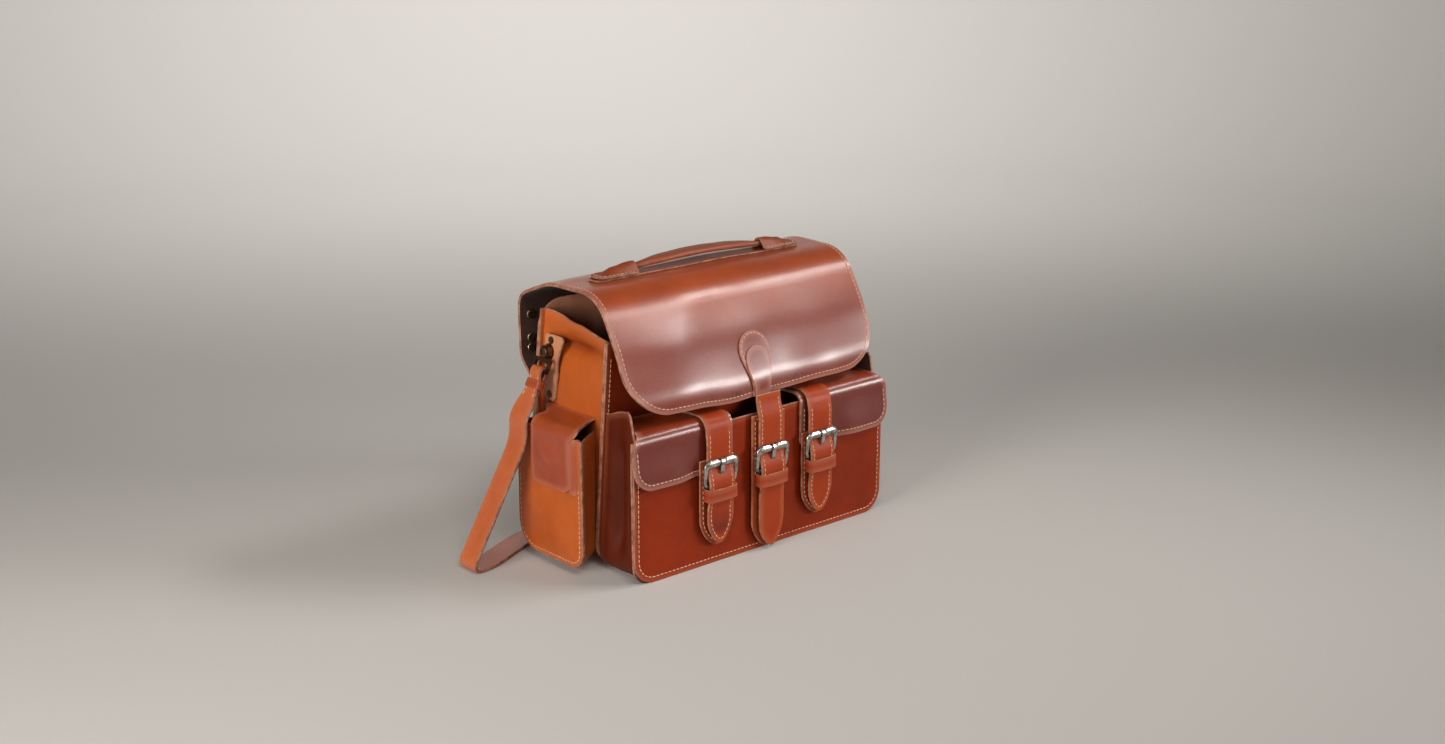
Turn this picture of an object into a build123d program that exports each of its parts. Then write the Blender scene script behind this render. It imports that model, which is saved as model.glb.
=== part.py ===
"""A leather satchel that stands on its own base, built as it would come apart on a bench.

Millimetres, +Z up, the front faces -Y. The origin is on the floor, in the underside of the bag.
"""
from build123d import *
import math
import os

os.makedirs("parts", exist_ok=True)

# Leather thicknesses
panel_leather = 2.4
flap_leather = 3.0
strap_leather = 2.2
backing_leather = 1.8
shoulder_leather = 3.0
gap = 0.3

# Main compartment: two panels and a U-shaped gusset, sewn with its edges turned out
body_width = 304.0
seam_allowance = 5.0
seam_low_z = 8.0
body_corner = 30.0
front_foot_y = -16.0
front_lean = 0.1
front_height = 214.0
gusset_back_height = 228.0
back_y = 73.0
back_bend_z = 150.0
back_top_y = 61.5
back_height = 235.0

# Front pocket
pocket_width = 310.0
pocket_front_y = -75.0
pocket_height = 132.0
pocket_corner = 22.0
ear_height = 158.0
pocket_fold_y = -69.5
pocket_fold_z = 131.5
pocket_fold_inner = 6.0
pocket_flap_outer_x = 158.0
pocket_flap_inner_x = 42.0
pocket_flap_low_z = 88.5
pocket_flap_corner = 20.0

# Main flap: a sheet that leaves the back panel, bulges behind the bag and arches over it
flap_low_z = 147.0
flap_corner = 38.0
flap_hinge_z = 221.0
flap_back_low_z = 100.0
flap_back_y = 94.8
flap_top_z = 255.5

# Three buckled straps: depths are measured forward from the pocket's front
strap_spacing = 63.0
strap_width = 30.0
strap_point = 18.0
strap_tip_z = {"left": 22.0, "centre": 3.5, "right": 22.0}
strap_root_length = 23.7
buckle_top_z = 99.5
buckle_low_z = 79.0
buckle_top_depth = 11.0
buckle_low_depth = 8.35
buckle_bar = 4.6
buckle_side_bar = 4.4
buckle_thickness = 3.6
buckle_width = 40.0
buckle_corner = 4.5
buckle_round = 1.2
prong_width = 4.2
prong_eye_radius = 3.4
prong_eye_bore = 2.45
backing_width = 41.0
backing_depth = 3.1
backing_top_z = {"left": 102.0, "centre": 131.0, "right": 102.0}
backing_below_tip = 3.0
keeper_low_z = 64.0
keeper_height = 12.0
keeper_depths = (5.0, 14.8)
keeper_width = 34.4
keeper_wall = 1.6
magnet_z = 46.0
magnet_radius = 7.0
magnet_thickness = 1.4

# Carrying handle on top of the flap
handle_y = 19.0
handle_half_span = 77.0
handle_end_x = 121.0
handle_rise = 4.5

# Side pockets
side_face_x = 178.0
side_front_y = -30.0
side_back_y = 65.0
side_low_z = 8.0
side_height = 128.0
side_fold_x = 171.6
side_fold_z = 129.0
side_fold_inner = 7.0
side_flap_front_y = -25.0
side_flap_back_y = 40.0
side_flap_low_z = 77.0

# Shoulder strap, its swivels and the tabs that carry them
swivel_y = 50.0
swivel_z = 190.0
shoulder_width = 26.0
shoulder_y = 54.0
shoulder_foot_x = 243.0

sides = {"left": -1, "right": 1}
gusset_x = body_width / 2 - seam_allowance
far = 400.0


def front_y(z):
    """Outer face of the main front panel, which leans forward as it rises."""
    return front_foot_y - front_lean * z


def at_y(y):
    """Upright plane at a depth; extruding from it by a positive amount goes forward."""
    return Plane.XZ.offset(-y)


def upright_outline(width, height, low_corner, high_corner=0.0, low_z=0.0, y=0.0):
    """Front view, drawn at depth y, of an upright piece with rounded corners."""
    with BuildSketch(at_y(y)) as outline:
        with Locations((0, (low_z + height) / 2)):
            Rectangle(width, height - low_z)
        if low_corner:
            fillet(outline.vertices().group_by(Axis.Y)[0], low_corner)
        if high_corner:
            fillet(outline.vertices().group_by(Axis.Y)[-1], high_corner)
    return outline.sketch


def section(plane, *points):
    """A flat section through the given corners."""
    with BuildSketch(plane) as outline:
        with BuildLine():
            Polyline(*points, close=True)
        make_face()
    return outline.sketch


def sheet_section(path, inner, outer, side, plane=Plane.YZ):
    """Section of a sheet that lies between two offsets of a path."""
    with BuildSketch(plane) as outline:
        with BuildLine():
            add(path)
            offset(amount=outer, side=side, closed=True)
        make_face()
        if inner:
            with BuildLine():
                add(path)
                offset(amount=inner, side=side, closed=True)
            make_face(mode=Mode.SUBTRACT)
    return outline.sketch


# ---------------------------------------------------------------- main compartment
body_view = upright_outline(body_width, far, body_corner)
band_view = upright_outline(2 * gusset_x, far, body_corner - seam_allowance)
hollow_view = upright_outline(
    2 * (gusset_x - panel_leather), far, body_corner - seam_allowance - panel_leather, low_z=panel_leather
)

with BuildPart() as front_panel:
    extrude(
        section(
            Plane.YZ,
            (front_y(0), 0),
            (front_y(front_height), front_height),
            (front_y(front_height) + panel_leather, front_height),
            (front_y(0) + panel_leather, 0),
        ),
        amount=far,
        both=True,
    )
    extrude(body_view, amount=far, both=True, mode=Mode.INTERSECT)
front_panel.part.label = "front_panel"
export_step(front_panel.part, "parts/front_panel.step")

with BuildPart() as back_panel:
    extrude(
        section(
            Plane.YZ,
            (back_y, 0),
            (back_y, back_bend_z),
            (back_top_y, back_height),
            (back_top_y - panel_leather, back_height),
            (back_y - panel_leather, back_bend_z),
            (back_y - panel_leather, 0),
        ),
        amount=far,
        both=True,
    )
    extrude(
        upright_outline(body_width, back_height, body_corner, high_corner=24),
        amount=far,
        both=True,
        mode=Mode.INTERSECT,
    )
back_panel.part.label = "back_panel"
export_step(back_panel.part, "parts/back_panel.step")


def between_panels(margin, low_z=0.0):
    """Side view of the space between the two panels, less a margin at each."""
    inset = panel_leather + margin
    return section(
        Plane.YZ,
        (front_y(low_z) + inset, low_z),
        (front_y(front_height) + inset, front_height),
        (back_top_y - inset, gusset_back_height),
        (back_y - inset, back_bend_z),
        (back_y - inset, low_z),
    )


with BuildPart() as seam_groove:
    extrude(between_panels(panel_leather, seam_low_z), amount=far, both=True)
    extrude(band_view, amount=far, both=True, mode=Mode.SUBTRACT)

with BuildPart() as main_gusset:
    extrude(between_panels(0), amount=far, both=True)
    extrude(body_view, amount=far, both=True, mode=Mode.INTERSECT)
    extrude(hollow_view, amount=far, both=True, mode=Mode.SUBTRACT)
    add(seam_groove.part, mode=Mode.SUBTRACT)
main_gusset.part.label = "main_gusset"
export_step(main_gusset.part, "parts/main_gusset.step")

# ---------------------------------------------------------------- back of the flap, with its stays
rivet_x = 140.0
rivet_heights = (183.5, 193.0, 215.0)
rivet_radius = 1.9
rivet_head = 4.3
rivet_head_thickness = 1.5
stay_width = 18.0
stay_low_z = 181.0
stay_high_z = flap_hinge_z - gap

with BuildLine() as flap_back_path:
    FilletPolyline(
        (back_y + flap_leather, flap_back_low_z),
        (back_y + flap_leather, 156),
        (flap_back_y, 176),
        (flap_back_y, flap_hinge_z - gap / 2),
        radius=8,
    )
flap_back_section = sheet_section(flap_back_path.line, 0, flap_leather, Side.LEFT)
rivet_centres = [(s * rivet_x, z) for s in sides.values() for z in rivet_heights]

rivet_clearance = 0.05
with BuildPart() as flap_back:
    extrude(flap_back_section, amount=body_width / 2, both=True)
    with BuildSketch(Plane.XZ):
        with Locations(*rivet_centres):
            Circle(rivet_radius + rivet_clearance)
    extrude(amount=far, both=True, mode=Mode.SUBTRACT)
flap_back.part.label = "flap_back"
export_step(flap_back.part, "parts/flap_back.step")

stay_back_y = flap_back_y + strap_leather
for side, s in sides.items():
    with BuildPart() as back_stay:
        with BuildSketch(at_y(flap_back_y)):
            with Locations((s * rivet_x, (stay_low_z + stay_high_z) / 2)):
                Rectangle(stay_width, stay_high_z - stay_low_z)
            with Locations(*rivet_centres):
                Circle(rivet_radius + rivet_clearance, mode=Mode.SUBTRACT)
        extrude(amount=-strap_leather)
    back_stay.part.label = f"back_stay_{side}"
    export_step(back_stay.part, f"parts/back_stay_{side}.step")

rivet_round = 0.9
with BuildPart() as back_rivets:
    with BuildSketch(at_y(flap_back_y - flap_leather)):
        with Locations(*rivet_centres):
            Circle(rivet_head)
    extrude(amount=rivet_head_thickness)
    with BuildSketch(at_y(stay_back_y)):
        with Locations(*rivet_centres):
            Circle(rivet_head)
    extrude(amount=-rivet_head_thickness)
    fillet(back_rivets.edges().filter_by(GeomType.CIRCLE).group_by(Axis.Y)[0], rivet_round)
    fillet(back_rivets.edges().filter_by(GeomType.CIRCLE).group_by(Axis.Y)[-1], rivet_round)
    with BuildSketch(at_y(flap_back_y - flap_leather)):
        with Locations(*rivet_centres):
            Circle(rivet_radius)
    extrude(amount=-(flap_leather + strap_leather))
back_rivets.part.label = "back_rivets"
export_step(back_rivets.part, "parts/back_rivets.step")

# ---------------------------------------------------------------- front pocket
pocket_back_z = 150.0
pocket_gusset_x = pocket_width / 2 - seam_allowance
pocket_side_view = (
    (pocket_front_y + panel_leather, 0),
    (pocket_front_y + panel_leather, pocket_height),
    (pocket_front_y + 13, ear_height),
    (pocket_front_y + 23, ear_height - 2),
    (front_y(pocket_back_z), pocket_back_z),
    (front_y(0), 0),
)

with BuildPart() as front_pocket_panel:
    extrude(
        upright_outline(pocket_width, pocket_height, pocket_corner, y=pocket_front_y),
        amount=-panel_leather,
    )
front_pocket_panel.part.label = "front_pocket_panel"
export_step(front_pocket_panel.part, "parts/front_pocket_panel.step")

pocket_band_corner = pocket_corner - seam_allowance
with BuildPart() as pocket_groove:
    extrude(
        section(
            Plane.YZ,
            (pocket_front_y + 2 * panel_leather, seam_low_z),
            (pocket_front_y + 2 * panel_leather, far),
            (far, far),
            (far, seam_low_z),
        ),
        amount=far,
        both=True,
    )
    extrude(
        upright_outline(2 * pocket_gusset_x, 2 * far, pocket_band_corner),
        amount=2 * far,
        both=True,
        mode=Mode.SUBTRACT,
    )

with BuildPart() as front_pocket_gusset:
    extrude(section(Plane.YZ, *pocket_side_view), amount=far, both=True)
    extrude(
        upright_outline(pocket_width, far, pocket_corner),
        amount=far,
        both=True,
        mode=Mode.INTERSECT,
    )
    extrude(
        upright_outline(
            2 * (pocket_gusset_x - panel_leather),
            far,
            pocket_band_corner - panel_leather,
            low_z=panel_leather,
        ),
        amount=far,
        both=True,
        mode=Mode.SUBTRACT,
    )
    add(pocket_groove.part, mode=Mode.SUBTRACT)
front_pocket_gusset.part.label = "front_pocket_gusset"
export_step(front_pocket_gusset.part, "parts/front_pocket_gusset.step")

# A pocket flap is one sheet: its top stays on the bag, and its front lifts about the fold
fold_outer = pocket_fold_inner + panel_leather
pocket_top_z = pocket_fold_z + fold_outer
pocket_top_outer_x = pocket_gusset_x - panel_leather - gap
for side, s in sides.items():
    top_width = pocket_top_outer_x - pocket_flap_inner_x
    with BuildPart() as pocket_top:
        with BuildSketch(Plane.XY.offset(pocket_fold_z + pocket_fold_inner)):
            with BuildLine():
                Polyline(
                    (s * pocket_flap_inner_x, pocket_fold_y + gap),
                    (s * pocket_top_outer_x, pocket_fold_y + gap),
                    (s * pocket_top_outer_x, front_y(pocket_top_z)),
                    (s * pocket_flap_inner_x, front_y(pocket_top_z)),
                    close=True,
                )
            make_face()
        extrude(amount=panel_leather)
    pocket_top.part.label = f"pocket_top_{side}"
    export_step(pocket_top.part, f"parts/pocket_top_{side}.step")

    with BuildPart() as pocket_flap:
        with BuildSketch(at_y(pocket_fold_y - pocket_fold_inner)) as flap_view:
            with BuildLine():
                Polyline(
                    (s * pocket_flap_inner_x, pocket_fold_z),
                    (s * pocket_flap_outer_x, pocket_fold_z),
                    (s * pocket_flap_outer_x, pocket_flap_low_z),
                    (s * pocket_flap_inner_x, pocket_flap_low_z),
                    close=True,
                )
            make_face()
            fillet(
                flap_view.vertices().sort_by_distance((s * pocket_flap_outer_x, pocket_flap_low_z))[0],
                pocket_flap_corner,
            )
        extrude(amount=panel_leather)
    pocket_flap.part.label = f"pocket_flap_{side}"
    export_step(pocket_flap.part, f"parts/pocket_flap_{side}.step")

root_gap = 0.2
root_middle_y = pocket_fold_y + gap + strap_root_length / 2
with BuildPart() as strap_roots:
    with BuildSketch(Plane.XY.offset(pocket_top_z + root_gap)):
        with Locations(*[(s * strap_spacing, root_middle_y) for s in sides.values()]):
            Rectangle(strap_width, strap_root_length)
    extrude(amount=strap_leather)
strap_roots.part.label = "strap_roots"
export_step(strap_roots.part, "parts/strap_roots.step")

# ---------------------------------------------------------------- main flap
with BuildLine() as flap_path:
    FilletPolyline(
        (flap_back_y, flap_hinge_z + gap / 2),
        (flap_back_y, 236),
        (48, flap_top_z),
        (-22, flap_top_z),
        (-56, 202),
        (pocket_front_y, 160),
        (pocket_front_y, flap_low_z),
        radius=[16, 60, 40, 150, 40],
    )

with BuildPart() as main_flap:
    extrude(
        sheet_section(flap_path.line, 0, flap_leather, Side.LEFT), amount=body_width / 2, both=True
    )
    extrude(
        upright_outline(body_width, far, flap_corner, low_z=flap_low_z),
        amount=far,
        both=True,
        mode=Mode.INTERSECT,
    )
main_flap.part.label = "main_flap"
export_step(main_flap.part, "parts/main_flap.step")

tongue_skin = 0.1
with BuildPart() as flap_tongue:
    extrude(
        sheet_section(flap_path.line, tongue_skin, tongue_skin + strap_leather, Side.RIGHT),
        amount=strap_width,
        both=True,
    )
    with BuildSketch(Plane.XZ) as tongue_view:
        with BuildLine():
            side_edge = Spline((-11, 138), (-11, 152), (-18.5, 179), tangents=[(0, 1), (0, 1)])
            ThreePointArc(side_edge @ 1, (0, 203), (18.5, 179))
            Spline((18.5, 179), (11, 152), (11, 138), tangents=[(0, -1), (0, -1)])
            Line((11, 138), (-11, 138))
        make_face()
    extrude(amount=far, mode=Mode.INTERSECT)
flap_tongue.part.label = "flap_tongue"
export_step(flap_tongue.part, "parts/flap_tongue.step")

# ---------------------------------------------------------------- buckled straps
def at_depth(depth):
    """Depth measured forward from the front of the pocket."""
    return pocket_front_y - depth


def pointed_outline(centre_x, width, top_z, tip_z, y):
    """Front view of a strap end: straight sides that close to a point in two arcs."""
    half = width / 2
    shoulder_z = tip_z + strap_point
    with BuildSketch(at_y(y)) as outline:
        with BuildLine():
            Polyline(
                (centre_x - half, shoulder_z),
                (centre_x - half, top_z),
                (centre_x + half, top_z),
                (centre_x + half, shoulder_z),
            )
            ThreePointArc(
                (centre_x + half, shoulder_z),
                (centre_x + 0.66 * half, tip_z + 0.42 * strap_point),
                (centre_x, tip_z),
            )
            ThreePointArc(
                (centre_x, tip_z),
                (centre_x - 0.66 * half, tip_z + 0.42 * strap_point),
                (centre_x - half, shoulder_z),
            )
        make_face()
    return outline.sketch


# The strap runs behind the buckle's upper bar, over its lower bar and through the keeper
strap_low_depth = 8.6
strap_fall = ((7.8, 95), (12.1, 81.5), (11.7, 71), (strap_low_depth, 54))
bar_rise = buckle_top_z - buckle_low_z
bar_reach = buckle_top_depth - buckle_low_depth
frame_height = math.hypot(bar_rise, bar_reach)
strap_centres = {"left": -strap_spacing, "centre": 0.0, "right": strap_spacing}
prong_profile = ((-1.4, 2.3), (2.1, 1.9), (1.4, 9.1), (0.2, 11.5), (-1.2, 11.1))
keeper_middle = at_depth(sum(keeper_depths) / 2)
keeper_reach = keeper_depths[1] - keeper_depths[0]

for name, x in strap_centres.items():
    tip_z = strap_tip_z[name]
    if name == "centre":
        strap_top_z = 150.0
        strap_start = ((3.6, strap_top_z), (3.6, 143), (7.8, 130))
    else:
        strap_top_z = pocket_fold_z
        start_depth = pocket_front_y - pocket_fold_y + fold_outer + root_gap + strap_leather / 2
        strap_start = ((start_depth, strap_top_z), (7.8, 121))
    strap_route = strap_start + strap_fall + ((strap_low_depth, tip_z),)
    with BuildLine() as strap_path:
        FilletPolyline(*[(at_depth(depth), z) for depth, z in strap_route], radius=12)

    with BuildPart() as strap:
        extrude(
            sheet_section(strap_path.line, 0, strap_leather / 2, Side.LEFT), amount=far, both=True
        )
        extrude(
            sheet_section(strap_path.line, 0, strap_leather / 2, Side.RIGHT), amount=far, both=True
        )
        extrude(
            pointed_outline(x, strap_width, strap_top_z, tip_z, 0),
            amount=far,
            mode=Mode.INTERSECT,
        )
        with BuildSketch(at_y(0)):
            with Locations((x, buckle_top_z - 4.5)):
                SlotOverall(19, prong_width + 1.4, rotation=90)
        extrude(amount=far, mode=Mode.SUBTRACT)
    strap.part.label = f"{name}_strap"
    export_step(strap.part, f"parts/{name}_strap.step")

    backing_tip_z = max(tip_z - backing_below_tip, 2.0)
    with BuildPart() as backing:
        extrude(
            pointed_outline(x, backing_width, backing_top_z[name], backing_tip_z, at_depth(backing_depth)),
            amount=backing_leather,
        )
    backing.part.label = f"{name}_strap_backing"
    export_step(backing.part, f"parts/{name}_strap_backing.step")

    frame_depth = (buckle_top_depth + buckle_low_depth) / 2
    frame_plane = Plane(
        origin=(x, at_depth(frame_depth), (buckle_top_z + buckle_low_z) / 2),
        x_dir=(1, 0, 0),
        z_dir=(0, -bar_rise, -bar_reach),
    )
    with BuildPart() as buckle:
        with BuildSketch(frame_plane):
            RectangleRounded(buckle_width, frame_height + buckle_bar, buckle_corner)
            RectangleRounded(
                buckle_width - 2 * buckle_side_bar,
                frame_height - buckle_bar,
                buckle_corner / 3,
                mode=Mode.SUBTRACT,
            )
        extrude(amount=buckle_thickness / 2, both=True)
        along_normal = Axis(frame_plane.origin, frame_plane.z_dir)
        fillet(buckle.faces().sort_by(along_normal)[0].edges(), buckle_round)
        fillet(buckle.faces().sort_by(along_normal)[-1].edges(), buckle_round)
    buckle.part.label = f"{name}_buckle"
    export_step(buckle.part, f"parts/{name}_buckle.step")

    with BuildPart() as prong:
        with BuildSketch(Plane.YZ.offset(x)):
            with BuildLine():
                Polyline(
                    *[
                        (at_depth(buckle_top_depth + forward), buckle_top_z - down)
                        for forward, down in prong_profile
                    ],
                    close=True,
                )
            make_face()
            with Locations((at_depth(buckle_top_depth), buckle_top_z)):
                Circle(prong_eye_radius)
                Circle(prong_eye_bore, mode=Mode.SUBTRACT)
        extrude(amount=prong_width / 2, both=True)
    prong.part.label = f"{name}_prong"
    export_step(prong.part, f"parts/{name}_prong.step")

    with BuildPart() as keeper:
        with BuildSketch(Plane.XY.offset(keeper_low_z)):
            with Locations((x, keeper_middle)):
                RectangleRounded(keeper_width, keeper_reach, 2.5)
                RectangleRounded(
                    keeper_width - 2 * keeper_wall,
                    keeper_reach - 2 * keeper_wall,
                    1.0,
                    mode=Mode.SUBTRACT,
                )
        extrude(amount=keeper_height)
    keeper.part.label = f"{name}_keeper"
    export_step(keeper.part, f"parts/{name}_keeper.step")

    with BuildPart() as magnet:
        with BuildSketch(at_y(at_depth(backing_depth))):
            with Locations((x, magnet_z)):
                Circle(magnet_radius)
        extrude(amount=-magnet_thickness)
    magnet.part.label = f"{name}_magnet"
    export_step(magnet.part, f"parts/{name}_magnet.step")

with BuildPart() as panel_magnets:
    with BuildSketch(at_y(pocket_front_y)):
        with Locations(*[(x, magnet_z) for x in strap_centres.values()]):
            Circle(magnet_radius)
    extrude(amount=magnet_thickness)
panel_magnets.part.label = "panel_magnets"
export_step(panel_magnets.part, "parts/panel_magnets.step")

# ---------------------------------------------------------------- carrying handle
base_z = flap_top_z + 0.3
base_leather = 1.8
base_half_width = 9.0
neck_radius = 2.6
tunnel_radius = 3.0
tunnel_rise = 5.2
tunnel_z = base_z + base_leather + tunnel_rise
anchor_half_width = 11.0
anchor_corner = 5.0
anchor_hump_length = 30.0
anchor_hump_half = 7.5
tunnel_length = 22.0
neck_end_x = handle_half_span + tunnel_length - 2
base_overhang = 3.0
base_corner = 6.0
stiffener_half_length = handle_end_x + 5
stiffener_width = 26.0
stiffener_corner = 8.0
stiffener_gap = 0.1
stiffener_leather = 2.0
stiffener_reach_z = 25.0

with BuildPart() as handle_base:
    with BuildSketch(Plane.XY.offset(base_z)):
        with Locations((0, handle_y)):
            RectangleRounded(2 * (handle_end_x + base_overhang), 2 * base_half_width, base_corner)
    extrude(amount=base_leather)
handle_base.part.label = "handle_base"
export_step(handle_base.part, "parts/handle_base.step")

with BuildPart() as handle_backing:
    stiffener_near = flap_leather + stiffener_gap
    extrude(
        sheet_section(flap_path.line, stiffener_near, stiffener_near + stiffener_leather, Side.LEFT),
        amount=stiffener_half_length,
        both=True,
    )
    with BuildSketch(Plane.XY.offset(flap_top_z - stiffener_reach_z)):
        with Locations((0, handle_y)):
            RectangleRounded(2 * stiffener_half_length, stiffener_width, stiffener_corner)
    extrude(amount=2 * stiffener_reach_z, mode=Mode.INTERSECT)
handle_backing.part.label = "handle_backing"
export_step(handle_backing.part, "parts/handle_backing.step")

for side, s in sides.items():
    anchor_middle_x = s * (handle_half_span + handle_end_x) / 2
    anchor_length = handle_end_x - handle_half_span
    with BuildPart() as handle_anchor:
        with BuildSketch(Plane.XY.offset(base_z + base_leather)):
            with Locations((anchor_middle_x, handle_y)):
                RectangleRounded(anchor_length, 2 * anchor_half_width, anchor_corner)
        extrude(amount=strap_leather)
        with BuildSketch(Plane.YZ.offset(s * handle_half_span)):
            with BuildLine():
                hump_foot = Line(
                    (handle_y - anchor_hump_half, base_z + base_leather),
                    (handle_y + anchor_hump_half, base_z + base_leather),
                )
                ThreePointArc(
                    hump_foot @ 1, (handle_y, tunnel_z + tunnel_radius + strap_leather), hump_foot @ 0
                )
            make_face()
        extrude(amount=s * anchor_hump_length)
        with BuildSketch(Plane.YZ.offset(s * handle_half_span)):
            with Locations((handle_y, tunnel_z)):
                Circle(tunnel_radius)
        extrude(amount=s * tunnel_length, mode=Mode.SUBTRACT)
    handle_anchor.part.label = f"handle_anchor_{side}"
    export_step(handle_anchor.part, f"parts/handle_anchor_{side}.step")

grip_half_x = handle_half_span - 2
grip_width = 15.0
grip_thickness = 4.6
grip_round = 1.8
neck_overlap = 3.0
with BuildPart() as handle:
    with BuildSketch(Plane.XZ.offset(-handle_y)):
        with BuildLine():
            upper = ThreePointArc(
                (-grip_half_x, tunnel_z + grip_thickness / 2),
                (0, tunnel_z + grip_thickness / 2 + handle_rise),
                (grip_half_x, tunnel_z + grip_thickness / 2),
            )
            Line(upper @ 1, (grip_half_x, tunnel_z - grip_thickness / 2))
            lower = ThreePointArc(
                (grip_half_x, tunnel_z - grip_thickness / 2),
                (0, tunnel_z - grip_thickness / 2 + handle_rise),
                (-grip_half_x, tunnel_z - grip_thickness / 2),
            )
            Line(lower @ 1, upper @ 0)
        make_face()
    extrude(amount=grip_width / 2, both=True)
    fillet(handle.edges().filter_by(GeomType.CIRCLE), grip_round)
    for s in sides.values():
        with BuildSketch(Plane.YZ.offset(s * (grip_half_x - neck_overlap))):
            with Locations((handle_y, tunnel_z)):
                Circle(neck_radius)
        extrude(amount=s * (neck_end_x - grip_half_x + neck_overlap))
handle.part.label = "handle"
export_step(handle.part, "parts/handle.step")

# ---------------------------------------------------------------- side pockets
side_front_corner = 16.0
side_back_corner = 26.0
side_root_front_y = -11.0
side_root_back_y = 60.0


def side_outline(inset, top_z):
    """Side view of a side pocket, rounded below, drawn in the plane x = 0."""
    with BuildSketch(Plane.YZ) as outline:
        with BuildLine():
            Polyline(
                (side_front_y + inset, side_low_z + inset),
                (side_front_y + inset, top_z),
                (side_back_y - inset, top_z),
                (side_back_y - inset, side_low_z + inset),
                close=True,
            )
        make_face()
        low_corners = outline.vertices().group_by(Axis.Y)[0].sort_by(Axis.X)
        fillet(low_corners[0], side_front_corner - inset)
        fillet(low_corners[1], side_back_corner - inset)
    return outline.sketch


def side_plan(s, inset, inner_x, outer_x):
    """Plan of a side pocket: its front wall runs outward and forward from beside the body's seam."""
    return section(
        Plane.XY,
        (s * inner_x, side_root_front_y + inset),
        (s * (body_width / 2 + 0.5), side_root_front_y - 1 + inset),
        (s * outer_x, side_front_y + inset),
        (s * outer_x, side_back_y - inset),
        (s * inner_x, side_root_back_y - inset),
    )


side_wall_x = side_face_x - panel_leather
side_fold_radius = side_fold_inner + panel_leather
side_top_z = side_fold_z + side_fold_radius
side_flap_corner = 9.0
for side, s in sides.items():
    with BuildPart() as side_pocket_panel:
        extrude(side_outline(0, side_height), amount=s * side_face_x)
        with BuildSketch(Plane.YZ):
            Rectangle(far, 2 * far)
        extrude(amount=s * side_wall_x, mode=Mode.SUBTRACT)
    side_pocket_panel.part.label = f"side_pocket_panel_{side}"
    export_step(side_pocket_panel.part, f"parts/side_pocket_panel_{side}.step")

    with BuildPart() as side_pocket_gusset:
        extrude(side_plan(s, 0, gusset_x, side_wall_x), amount=side_height)
        extrude(side_outline(0, side_height), amount=s * far, mode=Mode.INTERSECT)
    with BuildPart() as side_pocket_hollow:
        extrude(side_plan(s, panel_leather, gusset_x - 1, side_wall_x + 1), amount=far)
        extrude(side_outline(panel_leather, far), amount=s * far, mode=Mode.INTERSECT)
    with BuildPart() as side_pocket_wall:
        add(side_pocket_gusset.part)
        add(side_pocket_hollow.part, mode=Mode.SUBTRACT)
    side_pocket_wall.part.label = f"side_pocket_gusset_{side}"
    export_step(side_pocket_wall.part, f"parts/side_pocket_gusset_{side}.step")

    with BuildPart() as side_flap_top:
        extrude(
            section(
                Plane.XY.offset(side_fold_z + side_fold_inner),
                (s * gusset_x, -8),
                (s * (body_width / 2 + 0.5), -10),
                (s * (side_fold_x - gap), side_flap_front_y),
                (s * (side_fold_x - gap), side_flap_back_y),
                (s * (body_width / 2 + 4), side_root_back_y),
                (s * gusset_x, side_root_back_y),
            ),
            amount=panel_leather,
        )
    side_flap_top.part.label = f"side_flap_top_{side}"
    export_step(side_flap_top.part, f"parts/side_flap_top_{side}.step")

    with BuildPart() as side_pocket_flap:
        with BuildSketch(Plane.YZ.offset(s * (side_fold_x + side_fold_inner))) as side_flap_view:
            with BuildLine():
                Polyline(
                    (side_flap_front_y, side_fold_z),
                    (side_flap_back_y, side_fold_z),
                    (side_flap_back_y, side_flap_low_z),
                    (side_flap_front_y, side_flap_low_z),
                    close=True,
                )
            make_face()
            fillet(side_flap_view.vertices().group_by(Axis.Y)[0], side_flap_corner)
        extrude(amount=s * panel_leather)
    side_pocket_flap.part.label = f"side_pocket_flap_{side}"
    export_step(side_pocket_flap.part, f"parts/side_pocket_flap_{side}.step")

# ---------------------------------------------------------------- side tabs and swivels
tab_leather = 2.4
tab_outer_x = gusset_x + tab_leather
tab_rivet_radius = 1.5
tab_rivet_head = 3.4
tab_rivet_head_thickness = 1.1
tab_corner = 4.0
tab_points = ((28, 206), (57, 206), (61, 143), (43.5, 143), (37, 176))
tab_rivet_centres = ((47, 200.5), (52, 149))
post_radius = 3.0
post_head_radius = 5.0
post_head_thickness = 1.6
post_collar_radius = 7.0
post_collar_thickness = 1.3
eye_radius = 6.2
eye_start_x = tab_outer_x + 1.6
eye_end_x = eye_start_x + 4.6

for side, s in sides.items():
    with BuildPart() as side_tab:
        with BuildSketch(Plane.YZ.offset(s * gusset_x)) as tab_view:
            with BuildLine():
                Polyline(*tab_points, close=True)
            make_face()
            fillet(tab_view.vertices(), tab_corner)
            with Locations(*tab_rivet_centres):
                Circle(tab_rivet_radius + rivet_clearance, mode=Mode.SUBTRACT)
        extrude(amount=s * tab_leather)
    side_tab.part.label = f"side_tab_{side}"
    export_step(side_tab.part, f"parts/side_tab_{side}.step")

    with BuildPart() as swivel_post:
        with BuildSketch(Plane.YZ.offset(s * tab_outer_x)):
            with Locations((swivel_y, swivel_z)):
                Circle(post_collar_radius)
        extrude(amount=s * post_collar_thickness)
        with BuildSketch(Plane.YZ.offset(s * tab_outer_x)):
            with Locations((swivel_y, swivel_z)):
                Circle(post_radius)
        extrude(amount=s * (eye_end_x - tab_outer_x + post_head_thickness / 2))
        with BuildSketch(Plane.YZ.offset(s * (eye_end_x + gap))):
            with Locations((swivel_y, swivel_z)):
                Circle(post_head_radius)
        extrude(amount=s * post_head_thickness)
        outermost = Axis.X if s > 0 else -Axis.X
        fillet(swivel_post.edges().filter_by(GeomType.CIRCLE).group_by(outermost)[-1], rivet_round)
    swivel_post.part.label = f"swivel_post_{side}"
    export_step(swivel_post.part, f"parts/swivel_post_{side}.step")

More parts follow.
